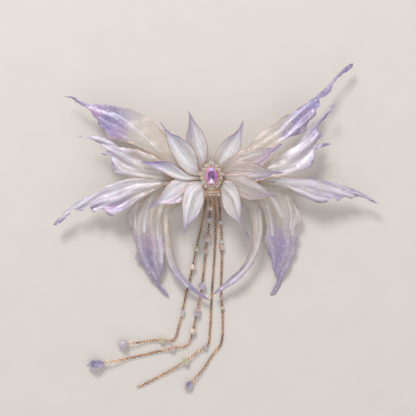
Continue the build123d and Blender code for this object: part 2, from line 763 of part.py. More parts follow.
def drop_pin(name):
    """A drop's head pin: the eye, the pin and the ball at its end."""
    length = drops[name][2]
    pivot, along = drop_axis(name)
    reach = eye_radius + ring_wire + length + 2 * seam
    ball = drop_ball[name] / 2
    shank = extrude(Circle(pin_wire), reach + ball - eye_radius)
    wire = Plane(origin=(eye_radius, 0, 0), z_dir=(1, 0, 0)) * shank
    piece = wire + Pos(reach + ball, 0, 0) * Sphere(ball) + eye((0, 0, 0))
    return Plane(origin=pivot, x_dir=along, z_dir=(0, 0, 1)) * piece


# ---- writing ----


def write(name, shape):
    """Write one node: a solid, or a group of separate solids."""
    if isinstance(shape, (list, tuple)):
        shape = Compound(children=[solid for piece in shape for solid in piece.solids()])
    export_step(shape, os.path.join("parts", name + ".step"))


def main():
    os.makedirs("parts", exist_ok=True)
    write("clip_base", clip_base())
    write("clip_catch", clip_catch())
    write("clip_bow", clip_bow())
    write("clasp_arm", clasp_arm())
    write("hinge_pin", cross_bar(pin_x, pin_height, pin_radius, clip_width))
    write("rivets", rivets())
    write("back_plate", back_plate())
    write("core", disc(0, 0, plate_top, setting_foot, core_radius))
    for side, films in (("left", left_petals()), ("right", right_petals())):
        for name, (film, rim) in films.items():
            write(name, film)
        write("petal_wires_" + side, [rim for film, rim_set in films.values() for rim in rim_set])
    for side, films in (("left", left_wings()), ("right", right_wings())):
        for name, (film, wires) in films.items():
            write(name, film)
        write("wing_wires_" + side, [wire for film, wire_set in films.values() for wire in wire_set])
    write("jewel_setting", jewel_setting())
    write("jewel", jewel())
    write("halo_stones", halo_stones() + finial_stones())
    write("chain_hanger", chain_hanger())
    write("jump_rings", jump_rings())
    write("end_rings", end_rings())
    for name in chain_routes:
        write(name, chain(name))
    for name, group in bead_groups().items():
        write(name, group)
    for name in drops:
        write(name, drop_body(name))
        write(name + "_pin", drop_pin(name))


main()
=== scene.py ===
import math
import random

import bmesh
import bpy
import numpy as np
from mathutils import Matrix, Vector, noise
from mathutils.geometry import delaunay_2d_cdt


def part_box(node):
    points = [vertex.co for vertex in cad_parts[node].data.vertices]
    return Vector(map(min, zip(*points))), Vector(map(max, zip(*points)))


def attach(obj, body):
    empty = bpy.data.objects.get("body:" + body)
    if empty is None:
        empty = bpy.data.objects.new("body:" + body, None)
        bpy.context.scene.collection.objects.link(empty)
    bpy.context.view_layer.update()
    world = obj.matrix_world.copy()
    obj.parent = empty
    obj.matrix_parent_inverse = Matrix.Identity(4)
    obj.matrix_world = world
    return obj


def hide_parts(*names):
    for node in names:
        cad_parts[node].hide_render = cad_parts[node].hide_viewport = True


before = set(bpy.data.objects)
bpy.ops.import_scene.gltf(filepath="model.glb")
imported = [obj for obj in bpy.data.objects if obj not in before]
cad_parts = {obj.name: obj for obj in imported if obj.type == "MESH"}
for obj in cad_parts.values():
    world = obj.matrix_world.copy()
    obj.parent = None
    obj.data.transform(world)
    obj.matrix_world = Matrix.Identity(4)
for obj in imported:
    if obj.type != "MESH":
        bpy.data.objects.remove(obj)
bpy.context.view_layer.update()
mm = 0.001
print("frame loaded,", len(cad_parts), "nodes")


def tone(red, green, blue):
    # a paint tone in 0..255 as the linear colour that the shader wants
    share = [value / 255 for value in (red, green, blue)]
    return tuple(v / 12.92 if v <= 0.04045 else ((v + 0.055) / 1.055) ** 2.4 for v in share) + (1.0,)


def points(size, *values):
    # a flat run of numbers as points of this many numbers each
    return [values[k:k + size] for k in range(0, len(values), size)]


def inMetres(places):
    return [tuple(round(value * mm, 6) for value in place) for place in places]


def smooth(low, high, value):
    t = np.clip((value - low) / (high - low), 0, 1)
    return t * t * (3 - 2 * t)


def meshPiece(name, verts, faces, material, body="ornament", smoothShade=True):
    mesh = bpy.data.meshes.new(name)
    mesh.from_pydata([tuple(v) for v in verts], [], faces)
    mesh.validate()
    mesh.polygons.foreach_set("use_smooth", [smoothShade] * len(mesh.polygons))
    mesh.materials.append(material)
    piece = bpy.data.objects.new(name, mesh)
    bpy.context.scene.collection.objects.link(piece)
    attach(piece, body)
    return piece


def addValues(mesh, name, values, kind="FLOAT", domain="POINT"):
    layer = mesh.attributes.new(name, kind, domain)
    key = "vector" if kind == "FLOAT_VECTOR" else "value"
    layer.data.foreach_set(key, np.asarray(values, np.float32).ravel())


def joinParts(parts):
    # several (verts, faces) into one
    verts, faces = [], []
    for partVerts, partFaces in parts:
        start = len(verts)
        verts += [tuple(v) for v in partVerts]
        faces += [tuple(i + start for i in face) for face in partFaces]
    return verts, faces


def frameAlong(direction):
    along = Vector(direction).normalized()
    side = along.cross(Vector((0, 0, 1)))
    if side.length < 1e-4:
        side = Vector((1, 0, 0))
    side.normalize()
    return side, side.cross(along), along


def placed(part, centre, direction):
    # a part turned from +Z to the direction and moved to the centre
    side, up, along = frameAlong(direction)
    verts = [Vector(centre) + side * v[0] + up * v[1] + along * v[2] for v in part[0]]
    return verts, part[1]


def lathe(profile, sides, stagger=False):
    # a profile of (radius, height) turned about Z; with stagger, each ring turns half a side for facets
    verts, faces = [], []
    count = len(profile)
    for ring, (radius, height) in enumerate(profile):
        turn = 0.5 * (ring % 2) if stagger else 0
        for k in range(sides):
            angle = 2 * math.pi * (k + turn) / sides
            verts.append((radius * math.cos(angle), radius * math.sin(angle), height))
    closed = profile[0] == profile[-1]
    if closed:
        verts = verts[:-sides]
    for ring in range(count - 1):
        for k in range(sides):
            a, b = ring * sides + k, ring * sides + (k + 1) % sides
            c, d = [(i + sides) % len(verts) if closed else i + sides for i in (b, a)]
            if not stagger:
                faces.append((a, b, c, d))
            elif ring % 2 == 0:
                faces += [(a, b, d), (b, c, d)]
            else:
                faces += [(a, b, c), (a, c, d)]
    if not closed:
        faces.append(tuple(range(sides))[::-1])
        faces.append(tuple(range((count - 1) * sides, count * sides)))
    return verts, faces


def sweep(line, radii, sides=6):
    # a round wire along a line of points
    line = np.asarray(line, float)
    tangents = np.gradient(line, axis=0)
    tangents /= np.linalg.norm(tangents, axis=1)[:, None]
    side = np.cross(tangents[0], (0.0, 0.0, 1.0))
    side = side if np.linalg.norm(side) > 1e-3 else np.array((1.0, 0.0, 0.0))
    verts, faces = [], []
    for i, (point, tangent) in enumerate(zip(line, tangents)):
        side = side - tangent * (side @ tangent)
        side /= np.linalg.norm(side)
        up = np.cross(side, tangent)
        radius = radii if np.isscalar(radii) else radii[i]
        for k in range(sides):
            angle = 2 * math.pi * k / sides
            verts.append(point + radius * (side * math.cos(angle) + up * math.sin(angle)))
        if i:
            for k in range(sides):
                a, b = (i - 1) * sides + k, (i - 1) * sides + (k + 1) % sides
                faces.append((a, a + sides, b + sides, b))
    faces.append(tuple(range(sides)))
    faces.append(tuple(range((len(line) - 1) * sides, len(line) * sides))[::-1])
    return verts, faces


def ball(radius, sides=12, rings=8):
    profile = [(max(radius * math.sin(math.pi * k / rings), radius * 0.02),
                -radius * math.cos(math.pi * k / rings))
               for k in range(rings + 1)]
    return lathe(profile, sides)


making = {}  # the node tree that is being made


def newMaterial(name):
    material = bpy.data.materials.new(name)
    material.use_nodes = True
    making["tree"] = material.node_tree
    shader = next(n for n in material.node_tree.nodes if n.type == "BSDF_PRINCIPLED")
    return material, shader


def fill(socket, value):
    # joins a socket to another one, or sets it to a plain value
    if isinstance(value, bpy.types.NodeSocket):
        making["tree"].links.new(value, socket)
    else:
        socket.default_value = value


def node(kind, inputs=None, **settings):
    made = making["tree"].nodes.new(kind)
    for key, value in settings.items():
        setattr(made, key, value)
    for key, value in (inputs or {}).items():
        fill(made.inputs[key], value)
    return made


def noiseOf(vector, scale, detail=4.0, roughness=0.55, distortion=0.0):
    values = {"Vector": vector, "Scale": scale, "Detail": detail, "Roughness": roughness,
              "Distortion": distortion}
    return node("ShaderNodeTexNoise", values).outputs["Fac"]


def bandOf(value, low, high, toLow=0.0, toHigh=1.0):
    values = {"Value": value, "From Min": low, "From Max": high, "To Min": toLow, "To Max": toHigh}
    return node("ShaderNodeMapRange", values, clamp=True).outputs["Result"]


def mathOf(operation, first, second=0.0):
    return node("ShaderNodeMath", {0: first, 1: second}, operation=operation, use_clamp=True).outputs[0]


def mixColour(factor, first, second):
    made = node("ShaderNodeMix", data_type="RGBA")
    for index, value in ((0, factor), (6, first), (7, second)):
        fill(made.inputs[index], value)  # the colour sockets of this node
    return made.outputs[2]


def attributeOf(name, output="Fac"):
    return node("ShaderNodeAttribute", attribute_name=name).outputs[output]


def bumpOf(shader, height, distance, strength):
    made = node("ShaderNodeBump", {"Height": height, "Distance": distance, "Strength": strength})
    setShader(shader, Normal=made.outputs["Normal"])


def here():
    return node("ShaderNodeTexCoord").outputs["Object"]


def setShader(shader, **values):
    for key, value in values.items():
        fill(shader.inputs[key.replace("_", " ")], value)


view = {"lens": 85.0, "sensor": 36.0, "centre": (-1.65 * mm, -15.45 * mm), "height": 496 * mm}
light = {
    "window": {"place": (-0.3, 0.8, 0.85), "size": 0.34, "power": 8.6, "tone": (1.0, 0.985, 0.96)},
    "fill": {"place": (0.5, -0.7, 0.9), "size": 1.0, "power": 1.6, "tone": (0.95, 0.97, 1.0)},
    "sky": (0.93, 0.93, 0.95, 1.0), "skyPower": 0.62,
}


def makeCamera():
    data = bpy.data.cameras.new("studioCamera")
    data.lens, data.sensor_width = view["lens"], view["sensor"]
    camera = bpy.data.objects.new("studioCamera", data)
    camera.location = (*view["centre"], view["height"])
    bpy.context.scene.collection.objects.link(camera)
    bpy.context.scene.camera = camera


def makeLights():
    for name in ("window", "fill"):
        look = light[name]
        data = bpy.data.lights.new(name, "AREA")
        data.size, data.energy, data.color = look["size"], look["power"], look["tone"]
        lamp = bpy.data.objects.new(name, data)
        lamp.location = look["place"]
        lamp.rotation_euler = (-Vector(look["place"])).to_track_quat("-Z", "Y").to_euler()
        bpy.context.scene.collection.objects.link(lamp)
    world = bpy.data.worlds.new("studioSky")
    world.use_nodes = True
    back = world.node_tree.nodes["Background"]
    back.inputs["Color"].default_value = light["sky"]
    back.inputs["Strength"].default_value = light["skyPower"]
    bpy.context.scene.world = world
    bpy.context.scene.view_settings.view_transform = "Standard"


def makeFloor():
    material, shader = newMaterial("paleFloor")
    grain = noiseOf(here(), 60.0, 3.0)
    setShader(shader, Base_Color=mixColour(grain, tone(216, 210, 203), tone(222, 216, 210)))
    setShader(shader, Roughness=0.8)
    mesh = bpy.data.meshes.new("floor")
    half, low = 3.0, -0.1 * mm  # just under the closed clasp arm, so the two faces don't share a plane
    corners = [(-half, -half, low), (half, -half, low), (half, half, low), (-half, half, low)]
    mesh.from_pydata(corners, [], [(0, 1, 2, 3)])
    mesh.materials.append(material)
    floor = bpy.data.objects.new("floor", mesh)
    bpy.context.scene.collection.objects.link(floor)


makeCamera()
makeLights()
makeFloor()
print("camera, light and floor made")


def metalMaterial(name, dark, bright, rough, grainScale=900.0, stretch=(1.0, 1.0, 1.0), bump=0.15):
    # worn metal: two tones, a fine grain in the gloss and tiny dents
    material, shader = newMaterial(name)
    spot = node("ShaderNodeMapping", {"Vector": here(), "Scale": stretch}).outputs["Vector"]
    broad, fine = noiseOf(spot, grainScale / 4), noiseOf(spot, grainScale, 3.0)
    setShader(shader, Base_Color=mixColour(bandOf(broad, 0.35, 0.65), dark, bright))
    setShader(shader, Roughness=bandOf(fine, 0.3, 0.7, rough[0], rough[1]))
    bumpOf(shader, fine, 0.00003, bump)
    setShader(shader, Metallic=1.0)
    return material


def glassMaterial(name, deep, pale, clear, rough=0.06):
    # cut glass: each facet has a tone between the deep and the pale one, painted lighter where it faces the
    # window lamp, plus a random share
    material, shader = newMaterial(name)
    facetLitAndTone = attributeOf("facetLightAndTone")
    cloud = noiseOf(here(), 700.0, 3.0)
    mixed = mathOf("ADD", mathOf("MULTIPLY", facetLitAndTone, 0.85), mathOf("MULTIPLY", cloud, 0.15))
    setShader(shader, Base_Color=mixColour(mixed, deep, pale))
    setShader(shader, Roughness=bandOf(cloud, 0.3, 0.7, rough, rough * 2.2))
    setShader(shader, IOR=1.52, Specular_IOR_Level=0.75, Coat_Weight=1.0, Coat_Roughness=0.05, Coat_IOR=2.0,
              Transmission_Weight=clear)
    return material


def pearlMaterial(name, body, blush):
    # nacre: a soft cloud of two tones under a clear skin
    material, shader = newMaterial(name)
    cloud = noiseOf(here(), 420.0, 5.0, 0.6, 0.6)
    setShader(shader, Base_Color=mixColour(bandOf(cloud, 0.35, 0.68), body, blush))
    setShader(shader, Roughness=bandOf(cloud, 0.3, 0.7, 0.16, 0.28))
    bumpOf(shader, noiseOf(here(), 1500.0, 2.0), 0.00002, 0.12)
    setShader(shader, Coat_Weight=1.0, Coat_Roughness=0.08, Coat_IOR=1.9, Sheen_Weight=0.3,
              Specular_IOR_Level=0.7)
    return material


roseGold = metalMaterial("roseGold", tone(222, 176, 142), tone(252, 226, 202), (0.14, 0.3))
chainGold = metalMaterial("chainGold", tone(138, 88, 52), tone(240, 188, 138), (0.16, 0.32))
wireGold = metalMaterial("wireGold", tone(200, 162, 134), tone(240, 214, 192), (0.26, 0.44))
clipSteel = metalMaterial("clipSteel", tone(150, 148, 146), tone(206, 203, 199), (0.24, 0.42), 700.0,
                          (0.15, 1.6, 1.0))
greenGlass = glassMaterial("greenGlass", tone(190, 182, 132), tone(240, 234, 206), 0.35)
violetGlass = glassMaterial("violetGlass", tone(92, 78, 132), tone(214, 202, 234), 0.25)
lavenderGlass = glassMaterial("lavenderGlass", tone(170, 152, 180), tone(240, 230, 242), 0.3)
roseGlass = glassMaterial("roseGlass", tone(206, 160, 156), tone(248, 226, 220), 0.35)
clearGlass = glassMaterial("clearGlass", tone(196, 196, 206), tone(250, 250, 252), 0.5)
whitePearl = pearlMaterial("whitePearl", tone(200, 184, 168), tone(230, 214, 202))
lilacPearl = pearlMaterial("lilacPearl", tone(172, 156, 172), tone(214, 200, 210))
print("metals, glass and pearl made")


chainCut = {
    "diameter": 1.3 * mm, "pitch": 1.4 * mm, "wire": 0.165 * mm, "linkWidth": 1.42 * mm,
    "lengths": {"chain_far_left": 0.1028, "chain_near_left": 0.1231,
                "chain_near_right": 0.1229, "chain_far_right": 0.1030},
}
# Each chain's route in millimetres, from its hanger ring over the petals and along the table.
chainRoutes = {
    "chain_far_left": inMetres(points(3,
        -2.6, -9.94, 17, -2.7, -12.5, 14.2, -3, -14.4, 10.5, -3.3, -16.2, 6.8, -3.8, -18.5, 3.4,
        -4.4, -21.9, 1.3, -5.2, -26, 0.72, -6.2, -30, 0.8, -7.1, -33.5, 1.6, -8, -38, 1.65, -9, -43, 1.6,
        -9.9, -47.4, 1.6, -11.1, -52.4, 0.8, -12.4, -57.4, 0.66, -13.4, -61.8, 0.8, -14.4, -66, 1.3,
        -15.3, -70.4, 1.25, -16.4, -74.8, 0.7, -17.3, -79.2, 0.72, -18.6, -81.8, 0.8, -21.2, -82.6, 1.2,
        -23, -81.9, 1.6, -26.6, -81.7, 1.6, -30.4, -82.3, 0.8, -34, -82.8, 1.1, -36.7, -83.2, 2,
        -39, -83.4, 2.4)),
    "chain_near_left": inMetres(points(3,
        -0.6, -9.94, 17, -0.6, -12.3, 14.4, -0.5, -14.2, 10.9, -0.6, -16, 7, -0.8, -18.8, 3.9,
        -1, -22.8, 1.9, -1.3, -26, 1.7, -1.7, -28.6, 1.75, -2.1, -32.6, 1.7, -2.7, -35.3, 1.2,
        -3, -38.6, 1.15, -3.6, -44.4, 0.68, -4.1, -49, 1.2, -4.5, -52.4, 1.9, -4.9, -56.4, 1.85,
        -5.7, -60.6, 1.1, -6.7, -65, 1.7, -7.7, -70.2, 1.75, -8.9, -75.4, 1.65, -9.9, -79.6, 1.6,
        -10.7, -82.6, 0.95, -12.4, -84.9, 0.85, -15.2, -85.4, 1.1, -17.8, -85.7, 1.5, -21.7, -86.7, 1.45,
        -26.5, -87.6, 0.75, -33.5, -89.4, 0.66, -40, -90.8, 0.7, -44.3, -91.6, 1.2, -47.7, -92.4, 2.4,
        -50.4, -92.8, 2.75)),
    "chain_near_right": inMetres(points(3,
        1.4, -9.94, 17, 1.5, -12.6, 14.1, 1.8, -14.5, 10.3, 2.1, -16.4, 6.4, 2.2, -18.8, 3, 2.3, -22.4, 1.1,
        2.1, -27.5, 0.68, 1.9, -34.5, 0.66, 1.4, -42, 0.67, 0.8, -49.5, 0.66, 0.3, -57, 0.67,
        -0.1, -65, 0.66, -0.3, -72.5, 0.67, -0.9, -78.5, 0.7, -1, -82.4, 0.85, -1.9, -84.9, 1.2,
        -4.3, -86.3, 1.25, -7.4, -88.4, 1.2, -10.9, -91.1, 1.85, -15, -93.8, 1.8, -19.8, -96.9, 0.8,
        -25.6, -100, 0.66, -31.3, -103.1, 0.67, -35.7, -105.2, 0.68)),
    "chain_far_right": inMetres(points(3,
        3.4, -9.94, 17, 3.8, -12.6, 14, 4.1, -14.8, 10.2, 4.3, -16.8, 6.4, 4.4, -19.6, 3, 4.7, -23.6, 1.35,
        5.1, -28, 1.25, 5, -31.4, 1.2, 5.1, -33.8, 1.4, 5.2, -37.2, 1.35, 5.3, -42.5, 0.7, 5, -49.5, 0.66,
        4.9, -55, 0.8, 4.9, -58.6, 1, 5.1, -61.8, 1.05, 5.4, -64, 1.1, 5.6, -67.4, 1.05, 5.8, -73.5, 0.68,
        5.6, -80.4, 0.7, 4.9, -84.2, 0.68, 3, -86.7, 0.7, 0.4, -89.6, 0.67, -1.7, -93.2, 0.7,
        -4, -96.5, 0.9, -6.1, -98.9, 1.5, -7.8, -100.75, 1.75)),
}
# Beads: chain, piece, the run of the route that it is on, how far along it, diameter, length, kind.
beadPlan = [
    ("chain_far_left", "bead_far_left_green", 8, 0.50, 3.3, 3.0, "cut"),
    ("chain_far_left", "bead_far_left_pearl", 10, 0.50, 3.3, 3.3, "pearl"),
    ("chain_far_left", "bead_far_left_clear", 15, 0.50, 2.6, 3.6, "cut"),
    ("chain_far_left", "bead_far_left_green", 21, 0.50, 3.2, 3.0, "cut"),
    ("chain_near_left", "bead_near_left_green", 2, 0.50, 3.2, 3.0, "cut"),
    ("chain_near_left", "bead_near_left_lavender", 4, 0.50, 3.3, 3.0, "cut"),
    ("chain_near_left", "bead_near_left_rose", 7, 0.50, 3.5, 3.2, "cut"),
    ("chain_near_left", "bead_near_left_rose", 9, 0.50, 2.3, 2.3, "cut"),
    ("chain_near_left", "bead_near_left_lavender", 13, 0.50, 3.8, 3.8, "cut"),
    ("chain_near_left", "bead_near_left_rose", 16, 0.32, 3.5, 2.0, "cut"),
    ("chain_near_left", "bead_near_left_lavender", 16, 0.74, 3.5, 2.0, "cut"),
    ("chain_near_left", "bead_near_left_pearl", 18, 0.50, 3.3, 3.3, "pearl"),
    ("chain_near_left", "bead_near_left_rose", 23, 0.50, 3.0, 2.8, "cut"),
    ("chain_near_right", "bead_near_right_lavender", 15, 0.50, 2.5, 2.3, "cut"),
    ("chain_near_right", "bead_near_right_green", 18, 0.50, 3.7, 3.3, "cut"),
    ("chain_far_right", "bead_far_right_crystal", 4, 0.70, 2.5, 2.4, "cut"),
    ("chain_far_right", "bead_far_right_crystal", 7, 0.50, 2.4, 2.2, "cut"),
    ("chain_far_right", "bead_far_right_rose", 8, 0.50, 2.8, 2.6, "cut"),
    ("chain_far_right", "bead_far_right_rose", 13, 0.50, 2.1, 2.0, "cut"),
    ("chain_far_right", "bead_far_right_green", 15, 0.50, 2.2, 2.0, "cut"),
]
beadLook = {
    "green": (greenGlass, "green_glass"), "pearl": (whitePearl, "pearl"),
    "clear": (clearGlass, "clear_glass"),
    "crystal": (clearGlass, "clear_glass"), "rose": (roseGlass, "rose_glass"),
    "lavender": (lavenderGlass, "lavender_glass"),
}
dropPlan = {
    "pearl": {"chain": "chain_far_left", "diameter": 4.8, "length": 4.8, "taper": 0.0, "ball": 0.9},
    "tear": {"chain": "chain_near_left", "diameter": 5.5, "length": 8.5, "taper": 4.0, "ball": 0.9},
    "crystal": {"chain": "chain_far_right", "diameter": 3.5, "length": 4.5, "taper": 0.0, "ball": 1.0},
}
ringCut = {"radius": 0.8 * mm, "wire": 0.18 * mm, "eye": 0.75 * mm, "pin": 0.14 * mm, "gap": 0.12 * mm,
           "seam": 0.04 * mm}


def splineLine(route):
    # the smooth line that a route's points steer
    curve = bpy.data.curves.new("route", "CURVE")
    curve.dimensions = "3D"
    curve.resolution_u = 20
    spline = curve.splines.new("NURBS")
    spline.points.add(len(route) - 1)
    for point, place in zip(spline.points, route):
        point.co = (*place, 1)
    spline.order_u = 3
    spline.use_endpoint_u = True
    holder = bpy.data.objects.new("route", curve)
    mesh = bpy.data.meshes.new_from_object(holder)
    line = np.array([v.co for v in mesh.vertices], float)
    bpy.data.objects.remove(holder)
    bpy.data.meshes.remove(mesh)
    bpy.data.curves.remove(curve)
    return line


def lengthsOf(line):
    return np.concatenate([[0], np.cumsum(np.linalg.norm(np.diff(line, axis=0), axis=1))])


def pointAt(line, along, distance):
    # the place and direction at a distance along a line
    def place(at):
        return Vector([float(np.interp(at, along, line[:, k])) for k in range(3)])
    step = 0.3 * mm
    low, high = max(distance - step, 0), min(distance + step, along[-1])
    return place(distance), (place(high) - place(low)).normalized()


def linkPart(outerLength, outerWidth, wire, around=14, sides=6):
    # one oval link lying along Z, wide along X
    reach = outerLength / 2 - outerWidth / 2
    centre = outerWidth / 2 - wire
    loop = []
    for k in range(around):
        angle = 2 * math.pi * k / around
        x, z = centre * math.cos(angle), centre * math.sin(angle)
        loop.append((x, 0.0, z + math.copysign(reach, z) if abs(z) > 1e-9 else z))
    verts, faces = [], []
    for k in range(around):
        here0, after, before = (Vector(loop[(k + shift) % around]) for shift in (0, 1, -1))
        tangent = (after - before).normalized()
        out = tangent.cross(Vector((0, 1, 0)))
        for s in range(sides):
            angle = 2 * math.pi * s / sides
            verts.append(here0 + wire * (out * math.cos(angle) + Vector((0, 1, 0)) * math.sin(angle)))
        for s in range(sides):
            a, b = k * sides + s, k * sides + (s + 1) % sides
            c, d = ((k + 1) % around) * sides + (s + 1) % sides, ((k + 1) % around) * sides + s
            faces.append((a, b, c, d))
    return verts, faces


def turned(part, angle):
    # a part turned about its own Z
    c, s = math.cos(angle), math.sin(angle)
    return [(v[0] * c - v[1] * s, v[0] * s + v[1] * c, v[2]) for v in part[0]], part[1]


def makeChain(name, line):
    along = lengthsOf(line)
    pitch, wire = chainCut["pitch"], chainCut["wire"]
    link = linkPart(pitch + 4 * wire + 0.04 * mm, chainCut["linkWidth"], wire)
    count = int(along[-1] / pitch)
    pitch = along[-1] / count
    parts = []
    for k in range(count):
        place, direction = pointAt(line, along, (k + 0.5) * pitch)
        parts.append(placed(turned(link, math.radians(20 + 90 * (k % 2))), place, direction))
    return meshPiece(name + "_links", *joinParts(parts), chainGold)


def facetLightAndTones(piece, seed):
    chance = random.Random(seed)
    tones = []
    for face in piece.data.polygons:
        # painted light: facets that face the window lamp get a lighter tone, plus a random tone of their own
        lightFacing = 0.5 + 0.5 * face.normal.dot(Vector((-0.35, 0.75, 0.56)).normalized())
        tones.append(min(1.0, max(0.0, lightFacing * 0.7 + chance.random() * 0.5 - 0.1)))
    addValues(piece.data, "facetLightAndTone", tones, "FLOAT", "FACE")


def beadPart(diameter, length, kind):
    radius, half, bore = diameter / 2 * mm, length / 2 * mm, 0.5 * mm
    if kind == "pearl":
        steps = 12
        start = math.asin(min(0.9, bore / radius))
        angles = [start + (math.pi - 2 * start) * k / steps for k in range(steps + 1)]
        outer = [(radius * math.sin(a), -half * math.cos(a)) for a in angles]
        return lathe([*outer, (bore * 0.7, half * 0.5), (bore * 0.7, -half * 0.5), outer[0]], 24)
    outer = [(radius * share, half * height) for share, height in
             ((0.52, -1), (0.84, -0.66), (1.0, -0.2), (1.0, 0.2), (0.84, 0.66), (0.52, 1))]
    return lathe([*outer, (bore * 0.7, half * 0.9), (bore * 0.7, -half * 0.9), outer[0]], 10, True)


def capPart(radius, height):
    # a small dished metal cap that sits on a bead's end
    wall = 0.08 * mm
    profile = [(0.28 * mm, 0), (radius * 0.75, height * 0.35), (radius, height),
               (radius - wall, height + wall),
               (radius * 0.7, height * 0.35 + wall), (0.28 * mm, wall), (0.28 * mm, 0)]
    return lathe(profile, 14)


def torusPart(radius, wire, around=28, sides=8):
    line = [(radius * math.cos(2 * math.pi * k / around), radius * math.sin(2 * math.pi * k / around), 0.0)
            for k in range(around + 1)]
    verts, faces = sweep(line[:-1], wire, sides)
    faces = faces[:-2]
    last = (around - 1) * sides
    faces += [(last + k, k, (k + 1) % sides, last + (k + 1) % sides) for k in range(sides)]
    return verts, faces


def makeBeads(lines):
    # the beads and their metal caps; returns the pieces on each chain
    groups, caps, onChain = {}, {}, {}
    for chainName, beadName, run, share, diameter, length, kind in beadPlan:
        route = chainRoutes[chainName]
        start, end = Vector(route[run]), Vector(route[run + 1])
        centre = start + (end - start) * share
        line = lines[chainName]
        near = int(np.argmin(np.linalg.norm(line - np.array(centre), axis=1)))
        place, direction = pointAt(line, lengthsOf(line), lengthsOf(line)[near])
        place.z = max(place.z, (diameter / 2 + 0.03) * mm)  # a bead lies on the table, not in it
        part = placed(beadPart(diameter, length, kind), place, direction)
        groups.setdefault(beadName, []).append(part)
        onChain.setdefault(chainName, set()).add(beadName)
        cap = capPart(min(0.34 * diameter, 1.0) * mm, 0.34 * mm)
        for way in (-1, 1):
            spot = place + direction * way * (length / 2 + 0.16) * mm
            caps.setdefault(chainName, []).append(placed(cap, spot, direction * -way))
    pieces = {name: [] for name in chainRoutes}
    for seed, (beadName, parts) in enumerate(sorted(groups.items())):
        material, slotName = beadLook[beadName.rsplit("_", 1)[1]]
        isPearl = slotName == "pearl"
        bead = meshPiece(beadName + "_cut", *joinParts(parts), material, smoothShade=isPearl)
        if not isPearl:
            facetLightAndTones(bead, seed)
        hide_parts(beadName)
        for chainName, names in onChain.items():
            if beadName in names:
                pieces[chainName].append(bead)
    for chainName, parts in caps.items():
        capsPiece = meshPiece(chainName + "_bead_caps", *joinParts(parts), roseGold)
        pieces[chainName].append(capsPiece)
    return pieces


def chainEnd(name):
    route = chainRoutes[name]
    end, before = Vector(route[-1]), Vector(route[-2])
    level = Vector((end.x - before.x, end.y - before.y, 0)).normalized()
    return end, level


def makeEndRings(pieces):
    centreGap = ringCut["radius"] + ringCut["wire"] + ringCut["gap"]
    for name in chainRoutes:
        end, level = chainEnd(name)
        if name == "chain_near_right":
            spot = end + level * centreGap
            part = placed(torusPart(ringCut["radius"], ringCut["wire"]), (spot.x, spot.y, 0.27 * mm),
                          (0, 0, 1))
        else:
            part = placed(torusPart(ringCut["radius"], ringCut["wire"]), end + level * centreGap,
                          (-level.y, level.x, 0))
        piece = meshPiece(name + "_end_ring", *part, roseGold)
        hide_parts("end_rings")
        pieces[name].append(piece)


def tearPart(plan):
    # a faceted teardrop or oval, with its narrow end at Z = 0
    radius, length = plan["diameter"] / 2 * mm, plan["length"] * mm
    bore = ringCut["pin"] + ringCut["seam"]
    if plan["taper"]:
        shares = ((0.0, 0.16), (0.12, 0.36), (0.3, 0.68), (0.48, 0.92), (0.62, 1.0), (0.78, 0.94),
                  (0.92, 0.66),
                  (1.0, 0.3))
    else:
        shares = ((0.0, 0.34), (0.16, 0.78), (0.36, 0.98), (0.64, 0.98), (0.84, 0.78), (1.0, 0.34))
    outer = [(radius * share, length * height) for height, share in shares]
    return lathe([*outer, (bore, length * 0.98), (bore, length * 0.02), outer[0]], 12, True)


def roundPart(plan):
    radius = plan["diameter"] / 2 * mm
    bore = ringCut["pin"] + ringCut["seam"]
    start = math.asin(bore / radius)
    angles = [start + (math.pi - 2 * start) * k / 18 for k in range(19)]
    outer = [(radius * math.sin(a), radius - radius * math.cos(a)) for a in angles]
    return lathe([*outer, (bore, radius * 1.5), (bore, radius * 0.5), outer[0]], 32)


def makeDrops(pieces):
    for seed, (name, plan) in enumerate(dropPlan.items()):
        end, level = chainEnd(plan["chain"])
        pivot = end + level * (2 * ringCut["radius"] + ringCut["wire"] + ringCut["gap"])
        start = ringCut["eye"] + ringCut["wire"] + ringCut["seam"]
        part = roundPart(plan) if name == "pearl" else tearPart(plan)
        material = lilacPearl if name == "pearl" else violetGlass
        drop = meshPiece(name + "_drop_cut", *placed(part, pivot + level * start, level), material,
                         name + "_end", name == "pearl")
        if name != "pearl":
            facetLightAndTones(drop, 40 + seed)
        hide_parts(name + "_drop")
        reach = start + plan["length"] * mm + ringCut["seam"]
        endBall = plan["ball"] / 2 * mm
        cap = capPart(min(0.36 * plan["diameter"], 1.1) * mm, 0.4 * mm)
        wire = sweep([pivot + level * (ringCut["eye"] * 0.9), pivot + level * (reach + endBall)],
                     ringCut["pin"], 8)
        parts = [
            placed(torusPart(ringCut["eye"], ringCut["wire"]), pivot, (0, 0, 1)), wire,
            placed(ball(endBall), pivot + level * (reach + endBall), level),
            placed(cap, pivot + level * (start - 0.1 * mm), level),
            placed(cap, pivot + level * (reach + 0.05 * mm), -level),
        ]
        pin = meshPiece(name + "_head_pin", *joinParts(parts), roseGold, name + "_end")
        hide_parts(name + "_drop_pin")
        pieces[plan["chain"]] += [drop, pin]


def makeChains():
    lines = {name: splineLine(route) for name, route in chainRoutes.items()}
    pieces = makeBeads(lines)
    makeEndRings(pieces)
    makeDrops(pieces)
    for name, line in lines.items():
        links = makeChain(name, line)
        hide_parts(name)


makeChains()
print("chains, beads and drops made")


filmLevels = {
    "petal": {"foot": 14.0, "step": 0.7, "dome": ((3.4, 0.0), (20.0, 2.2), (40.0, 1.2))},
    "wing": {"foot": 10.6, "step": 0.8, "dome": ((3.4, 0.0), (46.0, 0.4), (94.0, -6.4))},
    "tail": {"foot": 10.6, "step": 0.8, "dome": ((3.4, 0.0), (35.0, -2.6), (69.0, -10.9))},
    "ribbon": {"foot": 10.6, "step": 0.8, "dome": ((3.4, 0.0), (33.0, -1.9), (65.0, -8.0))},
}
filmCut = {"thickness": 0.14 * mm, "rootRadius": 3.6, "rootSpread": 0.36, "petalGrid": 0.75,
           "wingGrid": 0.85}
